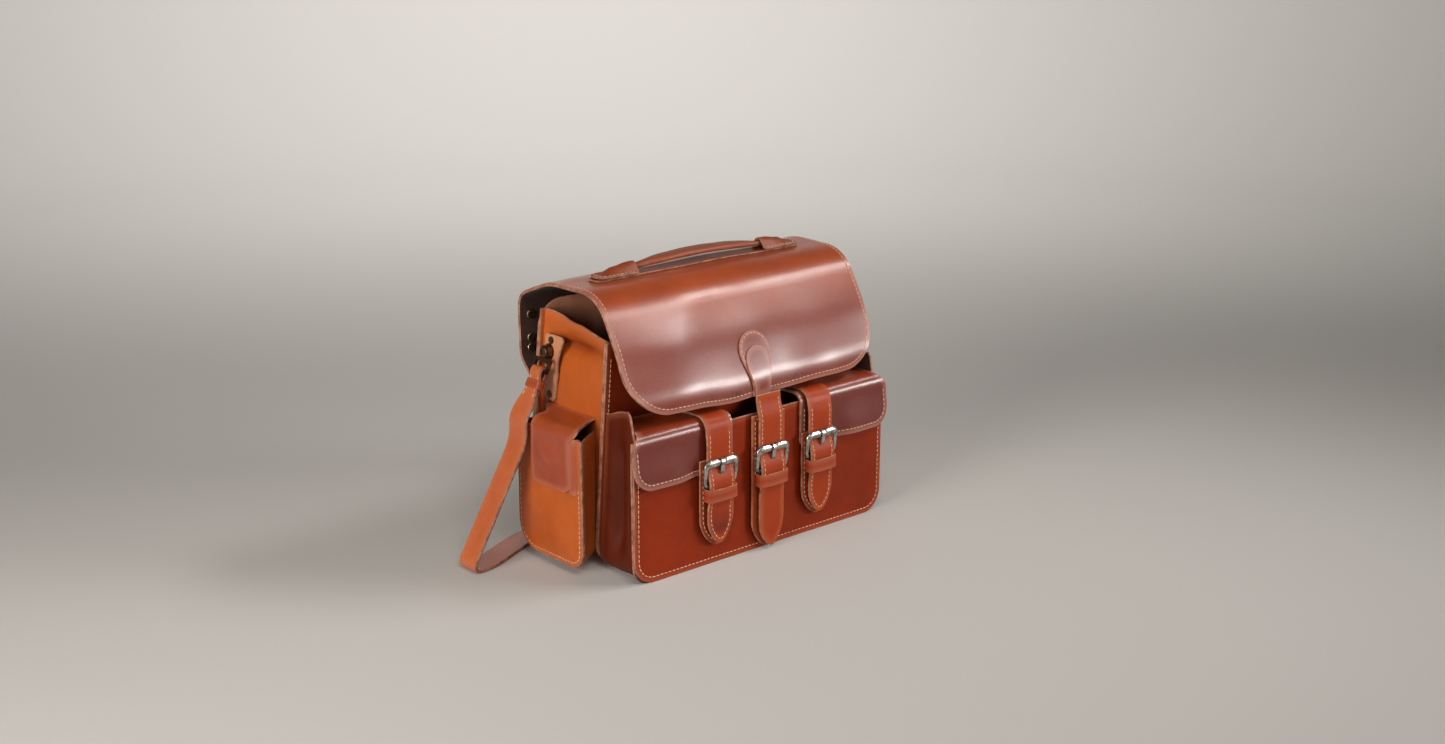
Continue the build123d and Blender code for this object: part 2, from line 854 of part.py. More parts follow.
with BuildPart() as tab_rivets:
    for s in sides.values():
        with BuildSketch(Plane.YZ.offset(s * gusset_x)):
            with Locations(*tab_rivet_centres):
                Circle(tab_rivet_radius)
        extrude(amount=s * (tab_leather + tab_rivet_head_thickness / 2))
        with BuildSketch(Plane.YZ.offset(s * tab_outer_x)):
            with Locations(*tab_rivet_centres):
                Circle(tab_rivet_head)
        extrude(amount=s * tab_rivet_head_thickness)
tab_rivets.part.label = "tab_rivets"
export_step(tab_rivets.part, "parts/tab_rivets.step")

# ---------------------------------------------------------------- shoulder strap
strap_drop = 2.03
ring_bar = 1.5
ring_length = 11.0
ring_drop = 7.6
ring_inner_width = 17.5
ring_neck_width = 8.0
ring_neck_height = 5.2
ring_neck_drop = 8.2
ring_outer_corner = 3.0
ring_inner_corner = 1.2
post_clearance = 0.06
slant = math.hypot(1, strap_drop)
out_step = 1 / slant
down_step = strap_drop / slant
eye_middle_x = (eye_start_x + eye_end_x) / 2
ring_low_x = eye_middle_x + (ring_drop + ring_length) * out_step
ring_low_z = swivel_z - (ring_drop + ring_length) * down_step

for side, s in sides.items():
    ring_middle = ring_drop + ring_length / 2
    ring_middle_x = eye_middle_x + ring_middle * out_step
    ring_plane = Plane(
        origin=(s * ring_middle_x, swivel_y, swivel_z - ring_middle * down_step),
        x_dir=(0, 1, 0),
        z_dir=(s * down_step, 0, out_step),
    )
    with BuildPart() as strap_ring:
        with BuildSketch(ring_plane):
            RectangleRounded(ring_inner_width + 4 * ring_bar, ring_length + 2 * ring_bar, ring_outer_corner)
            RectangleRounded(
                ring_inner_width,
                ring_length - 2 * ring_bar,
                ring_inner_corner,
                mode=Mode.SUBTRACT,
            )
        extrude(amount=ring_bar, both=True)
        with BuildSketch(Plane.YZ.offset(s * eye_start_x)):
            with Locations((swivel_y, swivel_z)):
                Circle(eye_radius)
        extrude(amount=s * (eye_end_x - eye_start_x))
        with BuildSketch(Plane.YZ.offset(s * eye_start_x)):
            with Locations((swivel_y, swivel_z)):
                Circle(post_radius + post_clearance)
        extrude(amount=s * (eye_end_x - eye_start_x + 20), mode=Mode.SUBTRACT)
        with BuildSketch(Plane.YZ.offset(s * eye_start_x)):
            with Locations((swivel_y, swivel_z - ring_neck_drop)):
                Rectangle(ring_neck_width, ring_neck_height)
        extrude(amount=s * (eye_end_x - eye_start_x))
    strap_ring.part.label = f"strap_ring_{side}"
    export_step(strap_ring.part, f"parts/strap_ring_{side}.step")

loop_inner = 2.4
loop_leather = 2.2
double_length = 22.0
floor_z = shoulder_leather / 2
narrow_half = 7.8
wide_half = shoulder_width / 2
taper_z = (158.0, 146.0)
double_end = (ring_low_x + double_length * out_step, ring_low_z - double_length * down_step)
fold_x = shoulder_foot_x + 4.5
foot_length = 26.0
beside_flap = ((183.4, 131), (184.2, 111))

with BuildLine() as floor_path:
    FilletPolyline((-228, 57.5), (-150, 92), (150, 92), (228, 57.5), radius=120)


def shoulder_side(s):
    """One end of the shoulder strap: a loop round its ring, a drop to the floor and the fold there."""
    with BuildLine() as drop_path:
        FilletPolyline(
            (s * double_end[0], double_end[1]),
            *[(s * x, z) for x, z in beside_flap],
            (s * fold_x, floor_z),
            (s * (fold_x - foot_length), floor_z),
            radius=[20, 45, 6.5],
        )
    with BuildPart() as strap_side:
        for edge in (Side.LEFT, Side.RIGHT):
            extrude(
                sheet_section(drop_path.line, 0, shoulder_leather / 2, edge, plane=at_y(shoulder_y)),
                amount=wide_half,
                both=True,
            )
        with BuildSketch(at_y(shoulder_y)):
            with BuildLine():
                doubled = Line((s * ring_low_x, ring_low_z), (s * double_end[0], double_end[1]))
                offset(doubled, amount=loop_leather, side=Side.BOTH)
            make_face()
        extrude(amount=wide_half, both=True)
        with BuildSketch(at_y(shoulder_y)):
            with Locations((s * ring_low_x, ring_low_z)):
                Circle(loop_inner + loop_leather)
        extrude(amount=wide_half, both=True)
        with BuildSketch(at_y(shoulder_y)):
            with Locations((s * ring_low_x, ring_low_z)):
                Circle(loop_inner)
        extrude(amount=far, both=True, mode=Mode.SUBTRACT)
        extrude(
            section(
                Plane.YZ,
                (swivel_y - narrow_half, far),
                (swivel_y + narrow_half, far),
                (swivel_y + narrow_half, taper_z[0]),
                (shoulder_y + wide_half, taper_z[1]),
                (shoulder_y + wide_half, -far),
                (shoulder_y - wide_half, -far),
                (shoulder_y - wide_half, taper_z[1]),
                (swivel_y - narrow_half, taper_z[0]),
            ),
            amount=far,
            both=True,
            mode=Mode.INTERSECT,
        )
    return strap_side.part


strap_ends = [shoulder_side(s) for s in sides.values()]
with BuildPart() as shoulder_strap:
    for edge in (Side.LEFT, Side.RIGHT):
        extrude(
            sheet_section(floor_path.line, 0, wide_half, edge, plane=Plane.XY),
            amount=shoulder_leather,
        )
    add(strap_ends)
shoulder_strap.part.label = "shoulder_strap"
export_step(shoulder_strap.part, "parts/shoulder_strap.step")

keeper_along = 9.0
strap_keeper_x = ring_low_x + keeper_along * out_step
strap_keeper_z = ring_low_z - keeper_along * down_step
for side, s in sides.items():
    keeper_plane = Plane(
        origin=(s * strap_keeper_x, swivel_y, strap_keeper_z),
        x_dir=(0, 1, 0),
        z_dir=(s * out_step, 0, -down_step),
    )
    with BuildPart() as strap_keeper:
        with BuildSketch(keeper_plane):
            RectangleRounded(2 * narrow_half + 4.0, 2 * loop_leather + 4.0, 1.8)
            RectangleRounded(2 * narrow_half + 0.8, 2 * loop_leather + 0.8, 0.4, mode=Mode.SUBTRACT)
        extrude(amount=7)
    strap_keeper.part.label = f"strap_keeper_{side}"
    export_step(strap_keeper.part, f"parts/strap_keeper_{side}.step")

drop_length = math.hypot(fold_x - double_end[0], double_end[1])
side_length = double_length + drop_length + foot_length
print("shoulder strap, ring to ring:", round(2 * side_length + floor_path.wire().length))
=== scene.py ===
"""The looks of a leather satchel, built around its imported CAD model.

Helper functions work in millimetres in the row frame, and meshes are written in metres.
A leather piece is a sheet: a surface that maps flat coordinates (s across, t along) to space, an
outline in those coordinates, and the heights of its grain side and flesh side.
"""
import math

import bpy
import numpy as np
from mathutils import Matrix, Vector, noise


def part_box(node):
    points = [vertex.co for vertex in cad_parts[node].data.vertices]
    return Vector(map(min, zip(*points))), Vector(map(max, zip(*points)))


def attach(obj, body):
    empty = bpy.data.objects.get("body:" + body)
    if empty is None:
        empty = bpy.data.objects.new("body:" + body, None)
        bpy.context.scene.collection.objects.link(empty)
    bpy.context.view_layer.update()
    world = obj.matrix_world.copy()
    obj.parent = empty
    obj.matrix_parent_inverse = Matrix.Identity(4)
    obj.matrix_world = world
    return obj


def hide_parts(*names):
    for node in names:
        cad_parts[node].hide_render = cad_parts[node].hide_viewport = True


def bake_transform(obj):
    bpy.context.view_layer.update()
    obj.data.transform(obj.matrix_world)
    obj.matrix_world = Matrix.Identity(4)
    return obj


MM = 0.001
SIDES = {"left": -1, "right": 1}
STRAPS = ("left", "centre", "right")
GRID = 6.0
SEAM_INSET = 5.0

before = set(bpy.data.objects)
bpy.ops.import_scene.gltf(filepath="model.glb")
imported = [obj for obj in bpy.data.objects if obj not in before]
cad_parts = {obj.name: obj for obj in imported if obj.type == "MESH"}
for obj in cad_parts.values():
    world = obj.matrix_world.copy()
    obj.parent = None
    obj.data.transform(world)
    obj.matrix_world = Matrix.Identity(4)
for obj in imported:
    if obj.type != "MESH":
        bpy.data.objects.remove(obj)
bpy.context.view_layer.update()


def cad(node):
    """Lowest and highest corner of a CAD node, in millimetres."""
    low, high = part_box(node)
    return np.array(low) / MM, np.array(high) / MM


# ---------------------------------------------------------------- paths
def unit(vectors):
    return vectors / np.maximum(np.linalg.norm(vectors, axis=-1, keepdims=True), 1e-9)


def eased(value, *points):
    """A smooth curve through (value, result) points, level at each of them."""
    places, results = np.array(points, float).T
    value = np.clip(value, places[0], places[-1])
    piece = np.clip(np.searchsorted(places, value, side="right") - 1, 0, len(places) - 2)
    share = (value - places[piece]) / (places[piece + 1] - places[piece])
    share = share * share * (3 - 2 * share)
    return results[piece] + share * (results[piece + 1] - results[piece])


def bell(value, centre, width):
    """A bump of height one around a centre."""
    return np.exp(-(((value - centre) / width) ** 2))


class Path:
    """A path through corners that are rounded by arcs, measured by its length."""

    def __init__(self, corners, radii, step=1.0):
        corners = [np.array(corner, float) for corner in corners]
        radii = radii if hasattr(radii, "__len__") else [radii] * (len(corners) - 2)
        points = [corners[0]]
        for before, corner, after, radius in zip(corners, corners[1:], corners[2:], radii):
            back, ahead = unit(before - corner), unit(after - corner)
            half = math.acos(np.clip(back @ ahead, -1, 1)) / 2
            turn = math.pi - 2 * half
            if radius <= 0 or turn < 1e-3:
                points.append(corner)
                continue
            centre = corner + unit(back + ahead) * radius / math.sin(half)
            first = corner + back * radius / math.tan(half) - centre
            last = corner + ahead * radius / math.tan(half) - centre
            count = max(3, int(radius * turn / step))
            for k in range(count + 1):
                share = k / count
                swing = math.sin((1 - share) * turn) * first + math.sin(share * turn) * last
                points.append(centre + swing / math.sin(turn))
        points.append(corners[-1])
        points = np.array(points)
        self.points = points
        steps = np.linalg.norm(np.diff(points, axis=0), axis=1)
        self.lengths = np.concatenate([[0], np.cumsum(steps)])
        self.total = self.lengths[-1]

    def at(self, t):
        """Points at the given distances along the path."""
        return np.stack([np.interp(t, self.lengths, column) for column in self.points.T], -1)

    def where(self, axis, value, after=0.0):
        """Distance along the path, past another, at which a coordinate first reaches a value."""
        column = self.points[:, axis]
        for k in range(len(column) - 1):
            low, high = sorted((column[k], column[k + 1]))
            if self.lengths[k + 1] > after and low <= value <= high and high > low:
                share = (value - column[k]) / (column[k + 1] - column[k])
                return self.lengths[k] + share * (self.lengths[k + 1] - self.lengths[k])
        raise ValueError(f"the path never reaches {value}")


def closed_ring(half_first, half_last, first, last, radii, step):
    """A four-sided ring with round corners. It starts in the middle of its first side."""
    corners = [(half_first, first), (half_last, last), (-half_last, last), (-half_first, first)]
    return Path([(0, first), *corners, (0, first)], radii, step)


# ---------------------------------------------------------------- outlines
def spaced(low, high, low_round=0.0, high_round=0.0, step=GRID):
    """Values from low to high that lie close together near both ends."""
    near = np.array([0, 0.8, 2.4, 5.0, 8.0]) * min(1.0, (high - low) / 24)

    def ends(radius):
        return radius * (1 - np.cos(np.linspace(0, math.pi / 2, 11))) if radius else near

    first, last = low + ends(low_round), high - ends(high_round)
    count = max(1, int(round((last[-1] - first[-1]) / step)))
    middle = np.linspace(first[-1], last[-1], count + 1)[1:-1]
    return np.concatenate([first, middle, last[::-1]])


def corner_cut(distance, radius):
    """How far a round corner draws an outline in, at a distance from the corner's end."""
    short = np.clip(radius - distance, 0, radius)
    return radius - np.sqrt(radius**2 - short**2)


def block(s_range, t_range, corners=(0, 0, 0, 0), step=GRID):
    """A rectangle with round corners, listed as low-s and high-s at low t, then at high t."""
    (s0, s1), (t0, t1) = s_range, t_range

    def limits(t):
        low, high = np.full(t.shape, float(s0)), np.full(t.shape, float(s1))
        for distance, (low_round, high_round) in ((t - t0, corners[:2]), (t1 - t, corners[2:])):
            low += corner_cut(distance, low_round)
            high -= corner_cut(distance, high_round)
        return low, high

    rows = spaced(t0, t1, max(corners[:2]), max(corners[2:]), step)
    return rows, limits


def pointed(width, length, point, step=GRID):
    """A strap end: straight sides that close to a point in two arcs at high t."""
    half = width / 2

    def limits(t):
        share = np.clip((length - t) / point, 0.0004, 1)
        reach = half * (1 - (1 - share) ** 1.75) ** 0.66
        return -reach, reach

    return spaced(0, length, 0, point, step), limits


# ---------------------------------------------------------------- meshes
def dress(thing, body, replaces=()):
    """Attaches a finished piece to what it rides on, and hides the CAD nodes it stands for."""
    if isinstance(body, str):
        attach(thing, body)
    else:
        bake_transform(thing)
    if replaces:
        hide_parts(*replaces)


def add_object(name, data):
    thing = bpy.data.objects.new(name, data)
    bpy.context.scene.collection.objects.link(thing)
    return thing


def mesh_piece(name, vertices, faces, skins, skin_of_face=None, marks=None):
    """A smooth-shaded mesh object. marks are named values, one for each vertex."""
    mesh = bpy.data.meshes.new(name)
    faces = [tuple(int(i) for i in face) for face in faces]
    mesh.from_pydata((np.asarray(vertices) * MM).tolist(), [], faces)
    for skin in skins:
        mesh.materials.append(skin)
    if skin_of_face is not None:
        mesh.polygons.foreach_set("material_index", np.asarray(skin_of_face, np.int32))
    for mark, values in (marks or {}).items():
        attribute = mesh.attributes.new(mark, "FLOAT", "POINT")
        attribute.data.foreach_set("value", np.asarray(values, np.float32))
    mesh.shade_smooth()
    mesh.set_sharp_from_angle(angle=math.radians(60))
    mesh.update()
    return add_object(name, mesh)


def grid_faces(rows, columns, start=0, closed=False):
    """Quads of a grid of vertices, which may close on itself across its columns."""
    faces = []
    for i in range(rows - 1):
        for j in range(columns if closed else columns - 1):
            k = (j + 1) % columns
            a, b = start + i * columns + j, start + i * columns + k
            faces.append((a, b, b + columns, a + columns))
    return faces


def tube_faces(rings, around, start=0):
    """Faces of a tube with closed ends."""
    faces = grid_faces(rings, around, start, closed=True)
    faces.append(tuple(start + i for i in reversed(range(around))))
    faces.append(tuple(start + (rings - 1) * around + i for i in range(around)))
    return faces


class Sheet:
    """The surface of one leather piece: where its flat coordinates lie, and which way it faces."""

    def __init__(self, surface, outside, ripple=0.35, ripple_size=70.0, seed=0.0):
        self.surface, self.outside, self.sign = surface, outside, 1.0
        self.ripple, self.ripple_size, self.seed = ripple, ripple_size, seed

    def orient(self, s, t):
        """Turns the grain side to the outside, where that is given as a direction."""
        if self.outside is not None:
            self.sign = 1.0
            facing = self.normals(s, t) @ np.array(self.outside, float)
            self.sign = 1.0 if facing.mean() >= 0 else -1.0

    def normals(self, s, t):
        step = 0.4
        across = self.surface(s + step, t) - self.surface(s - step, t)
        along = self.surface(s, t + step) - self.surface(s, t - step)
        return self.sign * unit(np.cross(across, along))

    def lift(self, s, t, height):
        """Points at a height above the surface, ripples included."""
        s, t = np.asarray(s, float), np.asarray(t, float)
        points = self.surface(s, t)
        waves = np.zeros(len(points))
        if self.ripple:
            for k, p in enumerate(points / self.ripple_size):
                waves[k] = noise.noise(Vector((p[0] + self.seed, p[1], p[2])))
        return points + self.normals(s, t) * (height + self.ripple * waves)[:, None]


def distance_to(outline, points):
    """Distance in the flat from each point to a closed outline."""
    best = np.full(len(points), 1e9)
    for a, b in zip(outline, np.roll(outline, -1, axis=0)):
        run = b - a
        share = np.clip(((points - a) @ run) / max(run @ run, 1e-9), 0, 1)
        best = np.minimum(best, np.linalg.norm(points - a - share[:, None] * run, axis=1))
    return best


def inward_normals(outline):
    """Unit normals of a closed outline in the flat that point into it."""
    run = np.roll(outline, -1, axis=0) - np.roll(outline, 1, axis=0)
    normal = unit(np.stack([-run[:, 1], run[:, 0]], -1))
    after = np.roll(outline, -1, axis=0)
    area = np.sum(outline[:, 0] * after[:, 1] - after[:, 0] * outline[:, 1])
    return normal if area > 0 else -normal


def everywhere(s, t):
    return np.full(np.shape(s), True)


def nowhere(s, t):
    return np.zeros(np.shape(s))


def leather_piece(
    name, sheet, shape, leather, replaces=(), body="bag", slot="body_leather", heights=None,
    flesh="flesh", seams=(), tone=nowhere, wear=nowhere, across_step=GRID,
):
    """Builds a sheet with a rounded cut edge, as thick as a panel unless heights are given.

    seams are (inset, keep) pairs: a line of stitches at that inset, where keep(s, t) is true.
    """
    rows, limits = shape
    low, high = limits(rows)
    widest = (high - low).max()
    share = spaced(0, widest, step=across_step) / widest
    across = low[:, None] + (high - low)[:, None] * share
    flat = np.stack([across, np.repeat(rows[:, None], len(share), 1)], -1)
    index = np.arange(across.size).reshape(across.shape)
    ring = np.concatenate([index[0, :], index[1:, -1], index[-1, -2::-1], index[-2:0:-1, 0]])
    flat = flat.reshape(-1, 2)
    outline = flat[ring]
    sheet.orient(*flat.T)

    above, below = heights or (0, -PANEL)
    rounding = 0.32 * (above - below)
    inset = flat.copy()
    inset[ring] += inward_normals(outline) * rounding
    layers = [sheet.lift(*inset.T, height) for height in (above, below)]
    layers += [sheet.lift(*outline.T, height) for height in (above - rounding, below + rounding)]
    total = len(flat)
    top_faces = grid_faces(*across.shape)
    low_faces = [tuple(i + total for i in reversed(face)) for face in top_faces]
    wall = 2 * total + np.arange(len(ring))
    wall_rings = [ring, wall, wall + len(ring), ring + total]
    walls = []
    for upper, lower in zip(wall_rings, wall_rings[1:]):
        for k in range(len(ring)):
            n = (k + 1) % len(ring)
            walls.append((upper[n], upper[k], lower[k], lower[n]))
    faces = top_faces + low_faces + walls
    skin_of_face = [0] * len(top_faces) + [1] * len(low_faces) + [2] * len(walls)
    if sheet.sign < 0:
        faces = [tuple(reversed(face)) for face in faces]
    values = {"rim": distance_to(outline, flat), "tone": tone(*flat.T), "wear": wear(*flat.T)}
    marks = {mark: np.concatenate([v, v, v[ring], v[ring]]) for mark, v in values.items()}
    leathers = [skin[leather], skin[flesh], skin["edge"]]
    piece = mesh_piece(name, np.concatenate(layers), faces, leathers, skin_of_face, marks)
    dress(piece, body, replaces)
    lines = [line for inset_by, keep in seams for line in seam_lines(outline, inset_by, keep)]
    if lines:
        stitching(name + "_stitching", sheet, lines, above, body, slot)
    return piece


def seam_lines(outline, inset_by, keep):
    """Runs of points that follow an outline at an inset, where keep allows them."""
    points = outline + inward_normals(outline) * inset_by
    good = (distance_to(outline, points) > 0.96 * inset_by) & keep(*points.T)
    if good.all():
        return [np.concatenate([points, points[:1]])]
    first = int(np.argmin(good))
    points, good = np.roll(points, -first, axis=0), np.roll(good, -first)
    lines, run = [], []
    for point, ok in zip(points, good):
        if ok:
            run.append(point)
        elif run:
            lines.append(np.array(run))
            run = []
    if run:
        lines.append(np.array(run))
    return [line for line in lines if len(line) > 1]


def stitching(name, sheet, lines, height, body, slot, pitch=4.6, length=3.5, thread=0.5):
    """Stitches along lines in the flat: short threads that dive into the leather at both ends."""
    centres, directions = [], []
    for line in lines:
        steps = np.linalg.norm(np.diff(line, axis=0), axis=1)
        along = np.concatenate([[0], np.cumsum(steps)])
        count = max(1, int(along[-1] / pitch))
        places = (np.arange(count) + 0.5) * along[-1] / count
        here, ahead, behind = (
            np.stack([np.interp(places + shift, along, column) for column in line.T], -1)
            for shift in (0, 0.5, -0.5)
        )
        centres.append(here)
        directions.append(unit(ahead - behind))
    centres, directions = np.concatenate(centres), np.concatenate(directions)
    # place along a stitch, rise out of the leather and thickness there, as shares
    half_rings = [(-0.5, -0.35, 0.55), (-0.36, 0.12, 0.9)]
    rings = half_rings + [(0, 0.26, 1.0)] + [(-place, *rest) for place, *rest in half_rings[::-1]]
    round_steps = np.linspace(0, 2 * math.pi, 7)[:-1]
    stages = []
    for offset, rise, _ in rings:
        flat = centres + directions * offset * length
        stages.append(sheet.lift(*flat.T, height + rise * 1.6 * thread))
    stages = np.array(stages)
    tangent = unit(stages[-1] - stages[0])
    upward = sheet.normals(*centres.T)
    sideways = unit(np.cross(tangent, upward))
    vertices, faces = [], []
    for k in range(len(centres)):
        start = len(vertices)
        for stage, (_, _, size) in zip(stages[:, k], rings):
            for angle in round_steps:
                arm = math.cos(angle) * sideways[k] + 0.8 * math.sin(angle) * upward[k]
                vertices.append(stage + arm * thread * size)
        faces += tube_faces(len(rings), len(round_steps), start)
    dress(mesh_piece(name, vertices, faces, [skin["thread"]]), body)


def border_seam(name, sheet, shape, inset_by, keep, body, slot, height=0, **thread):
    """Stitches along the border of a shape that bends across a joint, on one side of it."""
    rows, limits = shape
    low, high = limits(rows)
    outline = np.concatenate([np.stack([low, rows], -1), np.stack([high, rows], -1)[::-1]])
    stitching(name, sheet, seam_lines(outline, inset_by, keep), height, body, slot, **thread)


# ---------------------------------------------------------------- materials
class Shader:
    """A material's node tree, with short calls that add and link nodes."""

    def __init__(self, name):
        self.material = bpy.data.materials.new(name)
        self.material.use_nodes = True
        self.tree = self.material.node_tree
        self.principled = self.tree.nodes["Principled BSDF"]
        self.place = self.add("ShaderNodeTexCoord").outputs["Object"]

    def add(self, kind, inputs=None, **settings):
        node = self.tree.nodes.new(kind)
        for key, value in settings.items():
            setattr(node, key, value)
        for key, value in (inputs or {}).items():
            self.feed(node.inputs[key], value)
        return node

    def feed(self, socket, value):
        if isinstance(value, bpy.types.NodeSocket):
            self.tree.links.new(value, socket)
        else:
            socket.default_value = value

    def set(self, **values):
        for key, value in values.items():
            self.feed(self.principled.inputs[key.replace("_", " ")], value)

    def noise(self, scale, detail=2.0, roughness=0.5, distortion=0.0):
        inputs = {"Vector": self.place, "Scale": scale, "Detail": detail}
        inputs |= {"Roughness": roughness, "Distortion": distortion}
        return self.add("ShaderNodeTexNoise", inputs).outputs["Fac"]

    def cells(self, scale):
        inputs = {"Vector": self.place, "Scale": scale}
        return self.add("ShaderNodeTexVoronoi", inputs).outputs["Distance"]

    def attribute(self, name):
        return self.add("ShaderNodeAttribute", attribute_name=name).outputs["Fac"]

    def spread(self, value, low, high, to_low=0.0, to_high=1.0):
        inputs = {"Value": value, "From Min": low, "From Max": high}
        inputs |= {"To Min": to_low, "To Max": to_high}
        return self.add("ShaderNodeMapRange", inputs).outputs["Result"]

    def mix(self, share, *colours):
        node = self.add("ShaderNodeMix", {"Factor": share}, data_type="RGBA")
        for socket, colour in zip(node.inputs[6:8], colours):
            self.feed(socket, colour if isinstance(colour, bpy.types.NodeSocket) else (*colour, 1))
        return node.outputs[2]

    def math(self, operation, first, second):
        return self.add("ShaderNodeMath", {0: first, 1: second}, operation=operation).outputs[0]

    def bump(self, height, strength, distance, normal=None):
        inputs = {"Height": height, "Strength": strength, "Distance": distance}
        node = self.add("ShaderNodeBump", inputs)
        if normal is not None:
            self.feed(node.inputs["Normal"], normal)
        return node.outputs["Normal"]


def leather(name, colour, deep, rim, roughness, specular, coat=0.0, second=None):
    """Waxed leather: clouded colour, fine grain, faint creases and a paler band at its edge."""
    shader = Shader(name)
    clouds = shader.spread(shader.noise(11, 3, 0.55), 0.32, 0.68)
    mottle = shader.spread(shader.noise(85, 4, 0.6), 0.3, 0.7)
    specks = shader.spread(shader.noise(900, 2, 0.5), 0.35, 0.75)
    # the tone mark blends in a second colour: the leather's own on flaps, straps and tongue, painted
    # shade in the main gusset's valley
    base = shader.mix(shader.attribute("tone"), colour, second or colour)
    base = shader.mix(shader.math("MULTIPLY", clouds, 0.6), base, deep)
    base = shader.mix(shader.math("MULTIPLY", mottle, 0.16), base, tuple(0.45 * c for c in deep))
    light = tuple(min(1, 1.5 * c) for c in colour)
    base = shader.mix(shader.math("MULTIPLY", specks, 0.12), base, light)
    scuffs = shader.spread(shader.noise(240, 5, 0.75, 1.2), 0.62, 0.76)
    worn = tuple(min(1.0, 1.25 * c + 0.08) for c in colour)
    base = shader.mix(shader.math("MULTIPLY", scuffs, 0.05), base, worn)
    patches = shader.spread(shader.noise(330, 4, 0.7, 0.8), 0.45, 0.58)
    rubbed = shader.math("MULTIPLY", shader.attribute("wear"), patches)
    base = shader.mix(rubbed, base, (0.05, 0.012, 0.006))
    edge = shader.spread(shader.attribute("rim"), 1.2, 6.5, 1.0, 0.0)
    base = shader.mix(shader.math("MULTIPLY", edge, 0.55), base, rim)
    gloss = shader.spread(shader.noise(60, 4, 0.6), 0.3, 0.7, roughness, roughness + 0.07)
    gloss = shader.math("ADD", gloss, shader.math("MULTIPLY", edge, 0.08))
    pores = shader.cells(1150)
    grain = shader.noise(520, 4, 0.65, 0.6)
    creases = shader.spread(shader.noise(130, 3, 0.5, 2.2), 0.46, 0.54)
    pores, grain = shader.math("MULTIPLY", pores, 0.5), shader.math("MULTIPLY", grain, 0.8)
    fine = shader.bump(shader.math("ADD", pores, grain), 0.2, 0.0002)
    shader.set(
        Base_Color=base,
        Roughness=gloss,
        Normal=shader.bump(creases, 0.08, 0.0002, fine),
        Coat_Weight=coat,
        Coat_Roughness=0.22,
        Specular_IOR_Level=specular,
    )
    return shader.material


def flesh_side(name, colour, dark):
    """The rough inner side of leather: short nap and blotches."""
    shader = Shader(name)
    blotches = shader.spread(shader.noise(45, 4, 0.6), 0.35, 0.65)
    fibres = shader.noise(1600, 3, 0.7)
    base = shader.mix(blotches, colour, dark)
    light = tuple(min(1, 1.6 * c) for c in colour)
    base = shader.mix(shader.math("MULTIPLY", fibres, 0.35), base, light)
    shader.set(
        Base_Color=base,
        Roughness=0.85,
        Normal=shader.bump(fibres, 0.5, 0.0003),
        Specular_IOR_Level=0.25,
        Sheen_Weight=0.15,
        Sheen_Roughness=0.5,
    )
    return shader.material


def cut_edge(name, pale, dark):
    """A cut edge: fibres in a pale core, darker where it was burnished."""
    shader = Shader(name)
    burnish = shader.spread(shader.noise(130, 4, 0.65), 0.4, 0.62)
    fibres = shader.noise(1800, 3, 0.7)
    base = shader.mix(burnish, pale, dark)
    shader.set(Base_Color=base, Roughness=0.68, Normal=shader.bump(fibres, 0.6, 0.0003))
    return shader.material


def waxed_thread(name, colour):
    shader = Shader(name)
    twist = shader.noise(2600, 2, 0.6)
    stain = shader.spread(shader.noise(70, 3, 0.5), 0.4, 0.7)
    base = shader.mix(shader.math("MULTIPLY", stain, 0.5), colour, (0.35, 0.17, 0.09))
    shader.set(Base_Color=base, Roughness=0.6, Normal=shader.bump(twist, 0.5, 0.0002))
    return shader.material


def old_metal(name, bright, dark, roughness):
    """Plated metal with tarnish in its hollows, small dents and fine scratches."""
    shader = Shader(name)
    tarnish = shader.spread(shader.noise(150, 4, 0.6, 0.5), 0.42, 0.66)
    dents = shader.noise(260, 3, 0.6)
    scratches = shader.noise(2200, 2, 0.5)
    base = shader.mix(tarnish, bright, dark)
    gloss = shader.spread(tarnish, 0, 1, roughness, roughness + 0.22)
    hammered = shader.bump(dents, 0.1, 0.0004)
    shader.set(
        Base_Color=base,
        Metallic=1.0,
        Roughness=gloss,
        Normal=shader.bump(scratches, 0.12, 0.0001, hammered),
    )
    return shader.material


